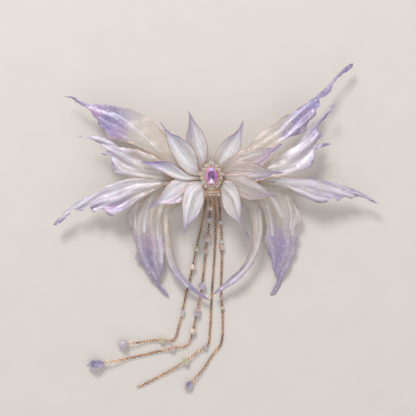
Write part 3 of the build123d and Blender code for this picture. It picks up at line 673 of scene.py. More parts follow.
# Petal outlines in millimetres, both edges from the tip to the root.
petalCuts = {
    "petal_left_crown": {"root": 135, "level": 1, "one": points(2,
        -11.5, 32.7, -10.8, 28.9, -11.2, 24.3, -12, 20.7, -12, 17.1, -10.6, 11, -5, 2.5),
     "two": points(2,
        -11.5, 32.7, -9.7, 29.6, -8.3, 26.8, -6.5, 24.3, -4.7, 22.2, -3.2, 19.2, -2.2, 15.6, -1.8, 13,
        -2, 10.3, -2.7, 7.5, -3.9, 4.1)},
    "petal_left_upper": {"root": 160, "level": 2, "one": points(2,
        -25.4, 27, -23.2, 23.1, -22, 19.3, -21.2, 16.2, -19.9, 12.9, -18.1, 9.6, -15.6, 5.3, -13.5, 3.2,
        -11.2, 1.4, -8.7, 0.6),
     "two": points(2,
        -25.4, 27, -24, 25.4, -22.2, 23.1, -20.4, 21.6, -18.1, 20.6, -15.1, 18.8, -12.3, 17, -10.2, 15.2,
        -8.4, 12.7, -7.2, 9.6, -6.7, 6.6, -6, 2.8)},
    "petal_left_middle": {"root": 178, "level": 1, "one": points(2,
        -34.5, 7.5, -33.4, 6.3, -29.9, 4.7, -26.3, 3.1, -23.2, 1.7, -20.7, 0.4, -17.9, -0.9, -15.1, -1.7,
        -12.5, -2),
     "two": points(2,
        -34.5, 7.5, -29.3, 7.2, -25.3, 7.8, -20.2, 7.1, -16.8, 4.7, -11.7, 1.2, -10.2, 0.6)},
    "petal_left_lower": {"root": 204, "level": 0, "one": points(2,
        -32, -16.2, -29.3, -15.2, -26.3, -13.9, -23.5, -13.4, -20.7, -13.4, -17.6, -13.2, -15.1, -12.4,
        -13.2, -9.3, -9.7, -4.7),
     "two": points(2,
        -32, -16.2, -30.4, -14.9, -27.8, -12.4, -25.5, -10.4, -23.5, -7.3, -21.7, -4.7, -19.1, -2.4,
        -16.8, -1.4, -12.5, -1.2)},
    "petal_left_foot": {"root": 238, "level": 2, "one": points(2,
        -13.5, -29.7, -12.1, -25.1, -10.6, -23, -7.8, -20.2, -5.5, -16.7, -4.2, -13.3, -3.6, -9.8,
        -3.4, -6.8),
     "two": points(2,
        -13.5, -29.7, -13.6, -24.5, -13.9, -18.7, -14.2, -14.4, -13.8, -10.1, -12.4, -5.5, -10.1, -2.7)},
    "petal_right_foot": {"root": 303, "level": 4, "one": points(2,
        19.1, -31.2, 16.7, -25.9, 14.7, -22.8, 14.2, -20.2, 14.4, -15.9, 14.1, -11.6, 13.2, -7.3,
        11.5, -4.4, 9.2, -2.4),
     "two": points(2,
        19.1, -31.2, 16.4, -27.6, 13.5, -23, 11.5, -21.3, 8.1, -18.5, 6.2, -15.6, 5.3, -12.7, 5, -9.3,
        4.6, -6.4)},
    "petal_right_lower": {"root": 348, "level": 3, "one": points(2,
        36.1, -11.4, 30, -8.9, 26, -5.8, 21.9, -2.8, 18.4, -0.5, 14.8, 0.6, 9.7, 0.9),
     "two": points(2,
        36.1, -11.4, 33.2, -10.4, 28, -9.9, 22.9, -10.9, 19.6, -11.3, 15.8, -10.6, 13.1, -8.7, 11.2, -5.4,
        8.8, -3)},
    "petal_right_middle": {"root": 8, "level": 2, "one": points(2,
        35.8, 1.9, 31.1, 2.4, 27, 3.4, 24, 5, 20.4, 6.5, 16.8, 7.2, 13.3, 7.2, 10.2, 6, 7.6, 3.9),
     "two": points(2,
        35.8, 1.9, 33.2, 1.4, 29, 0.4, 25, -1.5, 21.9, -2.2, 15, -2.5, 8.5, -1.3)},
    "petal_right_upper": {"root": 30, "level": 1, "one": points(2,
        34.7, 16.1, 32.1, 15.2, 29.6, 13.9, 25, 13.6, 19.9, 13.4, 14.8, 12.1, 11.2, 10.6, 8.2, 8, 5.3, 4.9),
     "two": points(2,
        34.7, 16.1, 32.6, 13.6, 29.6, 11.6, 27, 8.5, 25, 5.5, 18, 3.5, 8.5, 1.5)},
    "petal_right_crown": {"root": 58, "level": 0, "one": points(2,
        15.4, 27.4, 14.7, 26.1, 13.5, 23.5, 11.2, 21.2, 8.1, 18.9, 5.3, 16.4, 3.3, 13.3, 2, 11, 1.3, 8,
        1.5, 5.7),
     "two": points(2,
        15.4, 27.4, 15.8, 26.3, 15.4, 24.3, 14.7, 20.7, 14.6, 17.4, 14.1, 14.3, 13.6, 12.3, 10, 7, 5.5,
        3.5)},
}
# Wing outlines in millimetres, both edges from the tip to the root.
wingCuts = {
    "wing_left_upper": {"root": 152, "level": 2, "one": points(2,
        -73.2, 39.9, -69.5, 39.9, -66.6, 38.9, -62.8, 36.8, -59.6, 36, -55.8, 35.7, -52, 35.4, -48.8, 34.9,
        -44, 34, -39.2, 32.7, -35.5, 30.8, -31.6, 28.5, -27.8, 25.4, -24.5, 22.4, -22.5, 19.8, -16, 12,
        -9, 5),
     "two": points(2,
        -73.2, 39.9, -68.9, 38.7, -66.6, 36.8, -64.1, 35.4, -61.5, 34, -59.3, 32, -58, 29.8, -56.3, 28.2,
        -55.5, 25, -52.9, 23.1, -51.7, 20.9, -50.4, 19, -47.2, 18.2, -44, 17.7, -39.2, 16.3, -35.5, 14.4,
        -30.4, 11.9, -27.3, 10.1, -25.3, 9.1, -15, 4)},
    "wing_left_middle": {"root": 171, "level": 3, "one": points(2,
        -66.6, 19.8, -62.8, 19.9, -58.4, 20.1, -53.6, 19.4, -50.4, 18.3, -47.8, 16.4, -45, 14.5,
        -40.8, 13.9, -36, 12.9, -30.7, 11.3, -25.7, 8.6, -15, 3.4),
     "two": points(2,
        -66.6, 19.8, -59.9, 19, -57.1, 17.4, -54.2, 15.8, -54.5, 14.7, -52.3, 14.2, -51, 12.6, -54.2, 11.5,
        -52, 10.4, -49.7, 10.7, -48.8, 8.8, -48.8, 7.2, -48.8, 3.9, -47.8, 2.1, -45, 0.8, -40.6, 0.7,
        -36, -0.1, -30.4, -0.7, -25.3, -1.2, -20.2, -1.2, -12, -0.8)},
    "wing_left_lower": {"root": 187, "level": 2, "one": points(2,
        -78.5, -23.7, -77.4, -22.2, -76.1, -20.7, -73, -17.6, -69.7, -15, -66.4, -12.5, -62.8, -10.5,
        -59, -8.7, -55.2, -6.9, -50.1, -4.3, -45, -2.3, -41.8, -1.4, -35.5, -0.4, -30.4, -0.1, -22.7, 0.2,
        -14, 0.6),
     "two": points(2,
        -78.5, -23.7, -77.1, -24.1, -75.6, -23.2, -73, -21.2, -70.5, -18.6, -69.7, -16.6, -67.2, -16.2,
        -64.1, -16.8, -62.3, -15.3, -60.3, -14, -59.5, -15.8, -58, -17.5, -56.2, -16.3, -54.1, -15.8,
        -52.1, -17.6, -49, -19.4, -45, -17.1, -40.7, -14.8, -35.5, -11.1, -30.4, -8.3, -26.5, -6,
        -23.5, -4.2, -14, -2.4)},
    "wing_left_tail": {"root": 213, "level": 0, "one": points(2,
        -21.3, -59.9, -23.9, -58.5, -26.7, -55.6, -30.2, -51.6, -33, -47, -35.3, -43, -38.5, -40.7,
        -37.1, -36.7, -38.5, -32.1, -39.4, -26.3, -41.1, -22.6, -42, -19.3, -40.6, -15.7, -34, -11,
        -22, -6.8, -12, -3),
     "two": points(2,
        -21.3, -59.9, -22.7, -57.3, -25.9, -53.9, -26.4, -51.6, -25, -48.1, -24.2, -44.1, -23.9, -40.1,
        -22.7, -33.8, -23.6, -28.6, -24.7, -22.3, -23.4, -16.6, -19.2, -12.3, -10, -6)},
    "wing_left_ribbon": {"root": 232, "level": 1, "one": points(2,
        -0.3, -61.9, -5.5, -57.3, -10.1, -53.3, -14.7, -48.1, -17.5, -43.5, -19.3, -37.8, -20.4, -32.1,
        -21, -26.3, -20.4, -19.4, -17.1, -14.3, -10, -7),
     "two": points(2,
        -0.3, -61.9, -4.3, -60.2, -8.9, -57.3, -14.1, -53.9, -18.1, -49.9, -21, -45.3, -22.7, -40.1,
        -23.3, -33.8, -23.9, -26.3, -24.2, -19.4, -22.3, -14.3, -13, -6)},
    "wing_right_upper": {"root": 34, "level": 2, "one": points(2,
        70.8, 56.7, 70.2, 55, 67.9, 52.7, 65.3, 51.1, 62.6, 48.8, 60.3, 45.8, 59.5, 43.1, 58, 41.2,
        55.7, 39.6, 53.4, 38.5, 53.4, 35.1, 51.5, 33.1, 51.7, 30.8, 49.6, 28.6, 47.3, 25.9, 46.5, 22.8,
        43.5, 20.9, 39.2, 19.7, 35.8, 17.8, 25, 11, 13, 4.5),
     "two": points(2,
        70.8, 56.7, 68.7, 56.1, 65.6, 53.8, 62.6, 50.7, 59.5, 47.3, 55.7, 43.5, 51.9, 40, 48.8, 37.7,
        46.1, 35.8, 42.7, 33.5, 37.3, 30.5, 32.7, 27.4, 28.2, 24, 23.9, 20.5, 20.5, 17.1, 17.1, 13.2,
        8.5, 5.5)},
    "wing_right_middle": {"root": 9, "level": 3, "one": points(2,
        60.7, 36, 60.3, 34.7, 57.2, 30.1, 54.9, 27.4, 52.6, 24.7, 52.3, 22.4, 54.7, 20.5, 52.6, 18.2,
        50.7, 15.9, 53.4, 16.3, 56.5, 16.7, 58.8, 16.1, 58, 15.5, 54.9, 14.6, 51.9, 13.6, 50.3, 11.7,
        50.5, 8.7, 49.9, 6, 48.4, 4.1, 45, 2.9, 41.2, 2.3, 36.4, 0.8, 30.2, -0.5, 24.4, -1.7, 12, -1.2),
     "two": points(2,
        60.7, 36, 58.8, 34.3, 56.1, 31.2, 53, 28.2, 50, 25.5, 47.3, 22.4, 44.6, 19, 41.9, 15.5, 38.9, 13.6,
        35.8, 11.7, 31.6, 9.4, 27.8, 7.1, 24.3, 5.6, 12, 2.6)},
    "wing_right_lower": {"root": 352, "level": 2, "one": points(2,
        83.2, -13.6, 81.2, -13.1, 77.8, -11.3, 74.1, -9.8, 71.6, -10, 69.6, -10.9, 65.8, -10, 62.5, -11.9,
        60.4, -10.4, 58.4, -10.9, 56.7, -12.7, 52.6, -12.9, 49.7, -11.9, 46.8, -10.4, 41.8, -8.8,
        39.7, -6.7, 36.4, -4.6, 20, -3, 12, -2.2),
     "two": points(2,
        83.2, -13.6, 79.9, -10.9, 75.8, -8.6, 71.6, -6.7, 67.5, -5.1, 63.3, -3.8, 59.2, -2.4, 54.2, -1.7,
        48.8, -0.9, 43.4, -0.3, 38.5, -0.1, 32.2, 0.1, 20, 0.6, 12, 0.6)},
    "wing_right_tail": {"root": 326, "level": 0, "one": points(2,
        29.6, -59.3, 31.3, -56.2, 33, -52.7, 33, -49.9, 30.7, -45.8, 30.1, -41.2, 28.4, -36.7, 26.4, -32.1,
        27.6, -25.2, 26.7, -20.6, 25, -15.4, 20.7, -11.7, 11, -6),
     "two": points(2,
        29.6, -59.3, 31.9, -59, 34.2, -55.6, 35.9, -50.4, 37.6, -47, 39.3, -43.5, 39.9, -40.7, 42.2, -38.4,
        41.9, -33.8, 43.3, -29.2, 42.2, -25.2, 44.9, -21.5, 44.7, -18, 42.2, -14.5, 41.4, -10.9, 40.1, -7.5,
        37.6, -4.6, 32.1, -2.8, 27, -2, 20, -2.2, 12, -2.5)},
    "wing_right_ribbon": {"root": 308, "level": 1, "one": points(2,
        0.5, -58.8, 6, -56.2, 11.8, -52.7, 16.9, -48.1, 21, -42.4, 23.8, -35.5, 25.3, -28, 25.5, -22.3,
        24.4, -16.6, 21.7, -11.7, 12, -5.6),
     "two": points(2,
        0.5, -58.8, 2.6, -56.7, 5.5, -53.9, 9.5, -49.9, 13.5, -46.4, 16.9, -41.8, 19.2, -35.5, 20.4, -28.6,
        20.1, -22.3, 18.6, -16.6, 15.8, -11.7, 9, -7)},
}
# Dye dabbed on the wings: x, y and reach in millimetres, strength.
dyeDabs = {
    "violet": points(4,
        -71, 39.3, 5, 1, -64, 37, 4, 0.6, -56, 33, 6, 0.9, -51, 30, 7, 0.9, -46, 25, 6, 0.6,
        -52, 22, 5, 0.8, -45, 20, 4, 0.5, -57, 27, 4, 0.6, -64.5, 19.9, 4, 0.6, -53.5, 12, 3, 0.8,
        -49.5, 6, 3, 0.6, -47, 2.5, 3, 0.5, -76.5, -22.5, 5, 0.9, -68, -15.5, 4, 0.5, -58, -16, 4, 0.8,
        -50, -17.5, 6, 0.9, -44, -14, 4, 0.5, -34, -31, 6, 0.5, -33, -38, 6, 0.7, -29, -45, 6, 0.7,
        -26, -53, 6, 0.8, -22.5, -58.5, 4, 0.8, -3, -60, 5, 0.9, -10, -56, 4, 0.9, -15, -51.5, 4, 0.8,
        -19, -46, 3.5, 0.6, 2, -58.3, 5, 0.8, 9, -53.5, 4, 0.7, 14.5, -49.5, 4, 0.6, 19, -44, 3, 0.4,
        31, -29, 6, 0.6, 35, -36, 7, 0.7, 34, -44, 6, 0.7, 32, -53, 6, 0.8, 30, -58.5, 4, 0.8,
        37, 21, 4, 0.7, 41, 22.5, 4, 0.6, 45, 28, 7, 1, 50, 34, 6, 0.9, 56, 41, 5, 0.9, 63, 49, 5, 0.9,
        69, 55, 5, 1, 59, 34, 4, 0.9, 55.5, 28, 4, 0.7, 51, 21, 4, 0.6, 56.5, 16.3, 4, 0.8, 49.5, 8, 3, 0.5,
        60, -9.6, 4, 0.5, 70, -6.8, 3, 0.5, 74, -9.5, 6, 0.7, 81.5, -13, 6, 1, 66, -11, 4, 0.5,
        55, -12, 4, 0.6),
    "blue": points(4,
        -48, 30, 5, 0.8, -67, 38.7, 4, 0.5, -53, 27, 4, 0.6, -40, 31, 4, 0.4, -73, -19.5, 4, 0.4,
        -48, 12.6, 3, 0.4, -42, 9.6, 3, 0.4, -31, -41, 3.5, 0.6, -26, -33, 3, 0.4, 46, 35, 5, 0.9,
        52, 38, 4, 0.6, 36, -31, 5, 0.5, 29, -40, 3, 0.6, 33, -49, 4, 0.4, 78, -11, 4, 0.6,
        -60, 19.5, 3, 0.5, 64, 52, 4, 0.5),
    "pink": points(4,
        -58, 32, 4, 0.7, -50, -16, 5, 0.6, -56, -9, 4, 0.3, 48, 30, 4, 0.5, 20, -30, 5, 0.3,
        -30, -32, 5, 0.4, 35, -31, 4, 0.4, 60, 45, 3, 0.4, 45, 5, 4, 0.3, -45, 20.5, 4, 0.4),
}
# Painted highlights along the wing folds: four points x, y and the width, in millimetres.
foldHighlightLines = points(9,
    -49, 31.5, -43, 28.3, -35, 21.5, -25, 12.5, 0.55, -57, 33.5, -53, 32, -49, 30, -46, 28.2, 0.4,
    -55.5, 29.5, -52, 27.2, -49, 25.8, -46.5, 25, 0.3, -66, 38.2, -62, 36.2, -59, 34.8, -57, 34.2, 0.5,
    -63, 19.9, -54, 18.6, -47, 14.8, -40, 13.1, 1.2, -42, 13.4, -36, 12.2, -30, 10.6, -24, 7.6, 0.8,
    -53, 15.2, -48.8, 12.8, -41.5, 8.6, -34, 7, 1, -36, 7.3, -30, 6.4, -24, 4.8, -18, 3, 0.5,
    -47.5, 8.3, -42, 4.9, -34, 3.2, -24, 2, 1.1, -46.5, 2.6, -40, 1.7, -33, 0.7, -24, 0, 0.8,
    -75, -20.3, -62, -11.4, -48, -5.2, -28, -1.5, 1.3, -68, -15.6, -54, -9.8, -40, -5, -26, -2.8, 1.2,
    -57, -16.2, -49, -12, -39, -7.6, -29, -4.7, 1, -49, -17.5, -44, -14, -38, -10.4, -33, -8.4, 0.6,
    -29, -9, -31.5, -15, -33, -21, -33.5, -27, 0.8, -36, -13, -37.5, -17, -38, -21, -37.5, -26, 0.5,
    -25.5, -16, -26.5, -22, -26.5, -28, -26, -34, 0.6, -26, -30, -25.5, -34, -25, -38, -25, -42, 1.2,
    -22.5, -15, -22.4, -30, -20, -44, -12, -54.5, 0.6, 24, -15, 24.3, -28, 19, -43, 9, -53.6, 0.6,
    28.5, -8.5, 31, -12, 33, -15.5, 35, -19.5, 0.9, 37, -9, 39, -14, 40, -20, 39.5, -26, 0.5,
    27.5, -14, 29, -19, 30, -24, 30.5, -29, 0.6, 41.5, -13, 42.6, -18, 41, -24, 40.6, -29, 0.5,
    35, 24.5, 42, 30.5, 48, 36, 53, 40.5, 0.5, 38, 21, 44, 25.6, 48, 29, 50.5, 32, 0.4,
    29, 8, 36, 11, 42, 14.6, 47, 19.5, 1.3, 46, 18.5, 51, 25, 55, 30, 58.5, 33.8, 0.5,
    30, 3, 38, 5.5, 45, 8, 49.5, 11.6, 1.6, 28, 0.8, 36, 2.8, 44, 4.4, 48, 6.6, 1,
    30, -1.2, 44, -1.9, 54, -3.6, 64, -6.6, 1.2, 32, -2.6, 43, -4.4, 52, -7, 60, -9, 1.3,
    36, -4.3, 43, -7, 50, -10, 55, -11.6, 0.8, 66, -7, 72, -8.2, 77, -10, 80, -11.6, 0.6,
    60, -6.8, 64.5, -8.3, 67, -8.9, 69.5, -9.2, 1.6)
wingLook = {
    "wing_left_upper": {"pleats": 4.0, "turn": 0.6, "fold": 0.3, "lilac": 0.25},
    "wing_left_middle": {"pleats": 6.0, "turn": 1.2, "fold": 1.0, "lilac": 0.6},
    "wing_left_lower": {"pleats": 6.5, "turn": 0.2, "fold": 1.0, "lilac": 0.8},
    "wing_left_tail": {"pleats": 8.0, "turn": 0.0, "fold": 0.6, "lilac": 0.3},
    "wing_left_ribbon": {"pleats": 2.6, "turn": 0.5, "fold": 0.7, "lilac": 0.2},
    "wing_right_upper": {"pleats": 6.0, "turn": 0.9, "fold": 0.4, "lilac": 0.35},
    "wing_right_middle": {"pleats": 5.5, "turn": 0.4, "fold": 0.8, "lilac": 0.8},
    "wing_right_lower": {"pleats": 6.5, "turn": 1.4, "fold": 1.0, "lilac": 0.8},
    "wing_right_tail": {"pleats": 7.0, "turn": 0.0, "fold": 0.5, "lilac": 0.3},
    "wing_right_ribbon": {"pleats": 2.6, "turn": 0.5, "fold": 0.7, "lilac": 0.25},
}
# Petals: smoke is how smoky the film is, tip how violet, sheen where the painted highlight band lies across
# it, shade where the painted shade band lies.
petalLook = {
    "petal_left_crown": {"smoke": 0.45, "tip": 0.95, "sheen": -0.18, "shade": 0.55},
    "petal_left_upper": {"smoke": 0.2, "tip": 1.0, "sheen": 0.25, "shade": -0.55},
    "petal_left_middle": {"smoke": 0.15, "tip": 1.5, "sheen": 0.45, "shade": -0.4},
    "petal_left_lower": {"smoke": 0.25, "tip": 0.9, "sheen": -0.1, "shade": 0.6},
    "petal_left_foot": {"smoke": 0.1, "tip": 0.8, "sheen": -0.3, "shade": 0.1},
    "petal_right_foot": {"smoke": 0.4, "tip": 1.2, "sheen": 0.35, "shade": 0.05},
    "petal_right_lower": {"smoke": 0.85, "tip": 0.9, "sheen": 0.5, "shade": -0.3},
    "petal_right_middle": {"smoke": 0.85, "tip": 1.1, "sheen": -0.3, "shade": -0.7},
    "petal_right_upper": {"smoke": 0.9, "tip": 1.1, "sheen": 0.3, "shade": -0.5},
    "petal_right_crown": {"smoke": 0.3, "tip": 1.0, "sheen": -0.05, "shade": 0.6},
}


# How the films swell, in millimetres and shares of the film.
petalShape = {
    "free": (13, 25), "flatRoots": (8, 30, 348), "flatShare": 0.45, "cup": 0.9, "cupFoot": 0.1,
    "held": (8, 16), "midrib": 0.3, "midribWidth": 0.12, "ribs": 0.14, "ribCount": 10, "tipRise": 0.7,
}
wingShape = {
    "free": (18, 34), "driftScale": 0.06, "drift": 3.5, "creaseScale": 0.2, "crease": 0.5, "pleat": 0.75,
    "flutter": 0.5, "flutters": 26, "ribbonCup": 0.8, "ribbonFoot": 0.3,
}


def rounded(places, step):
    # a soft curve through the points (centripetal), with points about a step apart
    stops = [np.array(p, float) for p in places]
    stops = [2 * stops[0] - stops[1], *stops, 2 * stops[-1] - stops[-2]]
    line = []
    for a, b, c, d in zip(stops, stops[1:], stops[2:], stops[3:]):
        t1 = max(np.linalg.norm(b - a), 1e-6) ** 0.5
        t2 = t1 + max(np.linalg.norm(c - b), 1e-6) ** 0.5
        t3 = t2 + max(np.linalg.norm(d - c), 1e-6) ** 0.5
        count = max(1, round(np.linalg.norm(c - b) / step))
        for t in t1 + (t2 - t1) * np.arange(count) / count:
            ab = a + (b - a) * t / t1
            bc = b + (c - b) * (t - t1) / (t2 - t1)
            cd = c + (d - c) * (t - t2) / (t3 - t2)
            abc = ab + (bc - ab) * t / t2
            bcd = bc + (cd - bc) * (t - t1) / (t3 - t1)
            line.append(abc + (bcd - abc) * (t - t1) / (t2 - t1))
    line.append(stops[-2])
    return np.array(line)


def domeRise(dome, reach):
    (r0, z0), (r1, z1), (r2, z2) = dome
    return (z0 * (reach - r1) * (reach - r2) / ((r0 - r1) * (r0 - r2))
            + z1 * (reach - r0) * (reach - r2) / ((r1 - r0) * (r1 - r2))
            + z2 * (reach - r0) * (reach - r1) / ((r2 - r0) * (r2 - r1)))


def segmentGaps(points, line):
    # distance from each point to a line of points
    best = np.full(len(points), 1e9)
    for a, b in zip(line, line[1:]):
        d = b - a
        t = np.clip(((points - a) @ d) / max(d @ d, 1e-12), 0, 1)
        best = np.minimum(best, np.linalg.norm(points - a - t[:, None] * d, axis=1))
    return best


def insideOf(points, outline):
    inside = np.zeros(len(points), bool)
    x, y = points[:, 0], points[:, 1]
    for (x1, y1), (x2, y2) in zip(outline, np.roll(outline, -1, axis=0)):
        crosses = (y1 > y) != (y2 > y)
        inside ^= crosses & (x < (x2 - x1) * (y - y1) / ((y2 - y1) if y2 != y1 else 1e-9) + x1)
    return inside


def evenly(line, count):
    along = lengthsOf(line)
    at = np.linspace(0, along[-1], count)
    return np.stack([np.interp(at, along, line[:, k]) for k in range(line.shape[1])], axis=1)


def filmKind(name):
    if name.startswith("petal"):
        return "petal"
    end = name.rsplit("_", 1)[1]
    return end if end in ("tail", "ribbon") else "wing"


def noiseAt(spots, scale, seed):
    return np.array([noise.noise((p[0] * scale, p[1] * scale, seed)) for p in spots])


def tornEdge(line, seed, kind):
    # the frayed edge of a wing: small ripples that grow towards the tip
    along = lengthsOf(line) / lengthsOf(line)[-1]
    normal = np.gradient(line, axis=0)[:, ::-1] * (1, -1)
    normal /= np.maximum(np.linalg.norm(normal, axis=1), 1e-9)[:, None]
    size = (0.28 if kind == "wing" else 0.16) * (1 - smooth(0.45, 0.8, along)) * smooth(0.0, 0.06, along)
    ripple = noiseAt(line, 0.75, seed) + 0.5 * noiseAt(line, 1.9, seed + 7)
    return line + normal * (size * ripple)[:, None]


def filmHeight(film, spots):
    # the film's own height in millimetres at points in plan, and where they are on it
    kind, cut = film["kind"], film["cut"]
    level = filmLevels[kind]
    spine, half = film["spine"], film["half"]
    along = lengthsOf(spine) / lengthsOf(spine)[-1]
    gaps = np.linalg.norm(spots[:, None, :] - spine[None, :, :], axis=2)
    near = gaps.argmin(axis=1)
    tangent = np.gradient(spine, axis=0)
    tangent /= np.linalg.norm(tangent, axis=1)[:, None]
    away = spots - spine[near]
    side = tangent[near, 0] * away[:, 1] - tangent[near, 1] * away[:, 0]
    down = along[near]
    across = np.clip(side / half[near], -1.4, 1.4)
    reach = np.linalg.norm(spots, axis=1)
    z = level["foot"] + level["step"] * cut["level"] + domeRise(level["dome"], reach)
    if kind == "petal":
        shape = petalShape
        free = smooth(*shape["free"],
                      reach) * (shape["flatShare"] if cut["root"] in shape["flatRoots"] else 1.0)
        z = z + free * (shape["cup"] * across ** 2 - shape["cupFoot"]) * (1 - 0.6 * smooth(0.7, 1, down))
        held = smooth(*shape["held"], reach)
        groove = np.exp(-(across / shape["midribWidth"]) ** 2)
        z = z - shape["midrib"] * groove * held * (1 - smooth(0.75, 0.98, down))
        ribs = np.cos(across * shape["ribCount"]) * held * (1 - smooth(0.6, 0.95, down))
        z = z + shape["ribs"] * ribs + shape["tipRise"] * smooth(0.8, 1, down)
    else:
        shape, look, seed = wingShape, wingLook[film["name"]], film["seed"]
        free = smooth(*shape["free"], reach)
        drift = noiseAt(spots, shape["driftScale"], seed)
        crease = noiseAt(spots, shape["creaseScale"], seed + 3)
        wave = np.sin(look["pleats"] * across + shape["drift"] * drift + look["turn"])
        film["wave"] = wave * free * look["fold"]
        z = z + free * (shape["pleat"] * look["fold"] * wave + shape["crease"] * crease)
        rimShare = smooth(0.75, 1.0, np.abs(across))
        z = z + shape["flutter"] * free * rimShare * np.sin(shape["flutters"] * down + seed)
        if kind == "ribbon":
            z = z + free * (shape["ribbonCup"] * across ** 2 - shape["ribbonFoot"])
    return z, down, across, side


def planFilm(name, cut, seed):
    kind = filmKind(name)
    one, two = rounded(cut["one"], 0.55), rounded(cut["two"], 0.55)
    turn = math.radians(cut["root"])
    if kind != "petal":
        one, two = tornEdge(one, seed, kind), tornEdge(two, seed + 11, kind)
    ends = []
    for way in (-1, 1):
        angle = turn + way * filmCut["rootSpread"]
        ends.append(np.array((math.cos(angle), math.sin(angle))) * filmCut["rootRadius"])
    straight = np.linalg.norm(one[-1] - ends[0]) + np.linalg.norm(two[-1] - ends[1])
    crossed = np.linalg.norm(one[-1] - ends[1]) + np.linalg.norm(two[-1] - ends[0])
    if straight > crossed:
        ends.reverse()
    edges = []
    for edge, end in zip((one, two), ends):
        bridge = evenly(np.array([edge[-1], end]), max(3, int(np.linalg.norm(edge[-1] - end) / 0.6)))
        edges.append(np.vstack([edge, bridge[1:]]))
    thirds = [sum(evenly(edge, 7)[k] for edge in edges) / 2 for k in range(6, -1, -1)]
    spine = evenly(rounded([thirds[0], thirds[2], thirds[4], thirds[6]], 0.8), 90)
    half = np.empty(len(spine))
    tangent = np.gradient(spine, axis=0)
    tangent /= np.linalg.norm(tangent, axis=1)[:, None]
    rim = np.vstack(edges)
    for k, (spot, way) in enumerate(zip(spine, tangent)):
        offset = rim - spot
        close = np.abs(offset @ way) < 2.2
        cross = np.abs(offset[:, 0] * way[1] - offset[:, 1] * way[0])[close]
        half[k] = cross.mean() if len(cross) else 1.0
    half = np.maximum(np.convolve(np.pad(half, 6, mode="edge"), np.ones(13) / 13, mode="valid"), 0.6)
    return {"name": name, "kind": kind, "cut": cut, "seed": seed, "edges": edges, "spine": spine,
            "half": half}


def foldHighlightShare(spots):
    # share of the painted highlight along the listed folds
    share = np.zeros(len(spots))
    for *fold, width in foldHighlightLines:
        line = rounded(points(2, *fold), 2.0)
        share = np.maximum(share, np.exp(-(segmentGaps(spots, line) / width) ** 2))
    return share


def dyeShare(tint, spots):
    share = np.zeros(len(spots))
    for x, y, reach, strength in dyeDabs[tint]:
        share += strength * np.exp(-((spots[:, 0] - x) ** 2 + (spots[:, 1] - y) ** 2) / reach ** 2)
    return np.clip(share, 0, 1)


def makeFilm(film, material):
    isPetal = film["kind"] == "petal"
    one, two = film["edges"]
    outline = np.vstack([one, two[::-1][:-1]])
    x, y = outline[:, 0], outline[:, 1]
    area = 0.5 * np.sum(x * np.roll(y, -1) - y * np.roll(x, -1))
    outline = outline if area > 0 else outline[::-1]
    grid = filmCut["petalGrid" if isPetal else "wingGrid"]
    low, high = outline.min(axis=0), outline.max(axis=0)
    rows = []
    for row, y in enumerate(np.arange(low[1], high[1], grid * 0.866)):
        xs = np.arange(low[0] + (row % 2) * grid / 2, high[0], grid)
        rows.append(np.stack([xs, np.full(len(xs), y)], axis=1))
    inner = np.vstack(rows)
    inner = inner[insideOf(inner, outline)]
    inner = inner[segmentGaps(inner, np.vstack([outline, outline[:1]])) > grid * 0.45]
    points = [Vector(p) for p in np.vstack([outline, inner])]
    made = delaunay_2d_cdt(points, [], [list(range(len(outline)))], 1, 1e-5)
    spots, faces = np.array([tuple(v) for v in made[0]]), [tuple(f) for f in made[2]]
    z, down, across, side = filmHeight(film, spots)
    verts = np.column_stack([spots, z]) * mm
    piece = meshPiece(film["name"] + "_film", verts, faces, material)
    reach = np.linalg.norm(spots, axis=1)
    rim = segmentGaps(spots, np.vstack([outline, outline[:1]]))
    grain = np.column_stack([side, down * 60, np.full(len(side), film["seed"] * 9.0)])
    mesh = piece.data
    addValues(mesh, "grain", grain, "FLOAT_VECTOR")
    for key, values in (("rim", rim), ("down", down), ("across", across), ("reach", reach)):
        addValues(mesh, key, values)
    if isPetal:
        look = petalLook[film["name"]]
        addValues(mesh, "smoke", np.full(len(side), look["smoke"]))
        addValues(mesh, "tip",
                  smooth(0.38, 1.02, down + 0.14 * across * np.sign(look["shade"])) * look["tip"])
        # painted highlight band (sheen) and painted shade band across each petal
        addValues(mesh, "sheen", np.exp(-((across - look["sheen"]) / 0.19) ** 2) * smooth(0.05, 0.3, down))
        addValues(mesh, "shade", np.exp(-((across - look["shade"]) / 0.3) ** 2))
    else:
        for tint in dyeDabs:
            addValues(mesh, tint, dyeShare(tint, spots))
        # painted highlights along the folds
        addValues(mesh, "pearlAndHighlight", foldHighlightShare(spots))
        addValues(mesh, "ridge", film["wave"])
        addValues(mesh, "lilac", smooth(26, 52, reach) * wingLook[film["name"]]["lilac"])
    body = piece.modifiers.new("body", "SOLIDIFY")
    body.thickness, body.offset = filmCut["thickness"], 0
    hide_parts(film["name"])


filmLook = {
    "clear": tone(230, 216, 194), "valleyShade": tone(196, 178, 154), "cream": tone(246, 238, 222),
    "pearlAndHighlight": tone(252, 251, 254), "violet": tone(150, 134, 172), "lavender": tone(190, 178, 212),
    "blue": tone(134, 132, 182), "pink": tone(214, 166, 202), "smoke": tone(216, 200, 182),
    "white": tone(252, 250, 246), "cool": tone(212, 220, 234), "shadeOlive": tone(178, 172, 152),
    "vein": tone(150, 136, 124), "tipBlue": tone(132, 124, 170),
}


def times(first, second):
    return mathOf("MULTIPLY", first, second)


def plus(first, second):
    return mathOf("ADD", first, second)


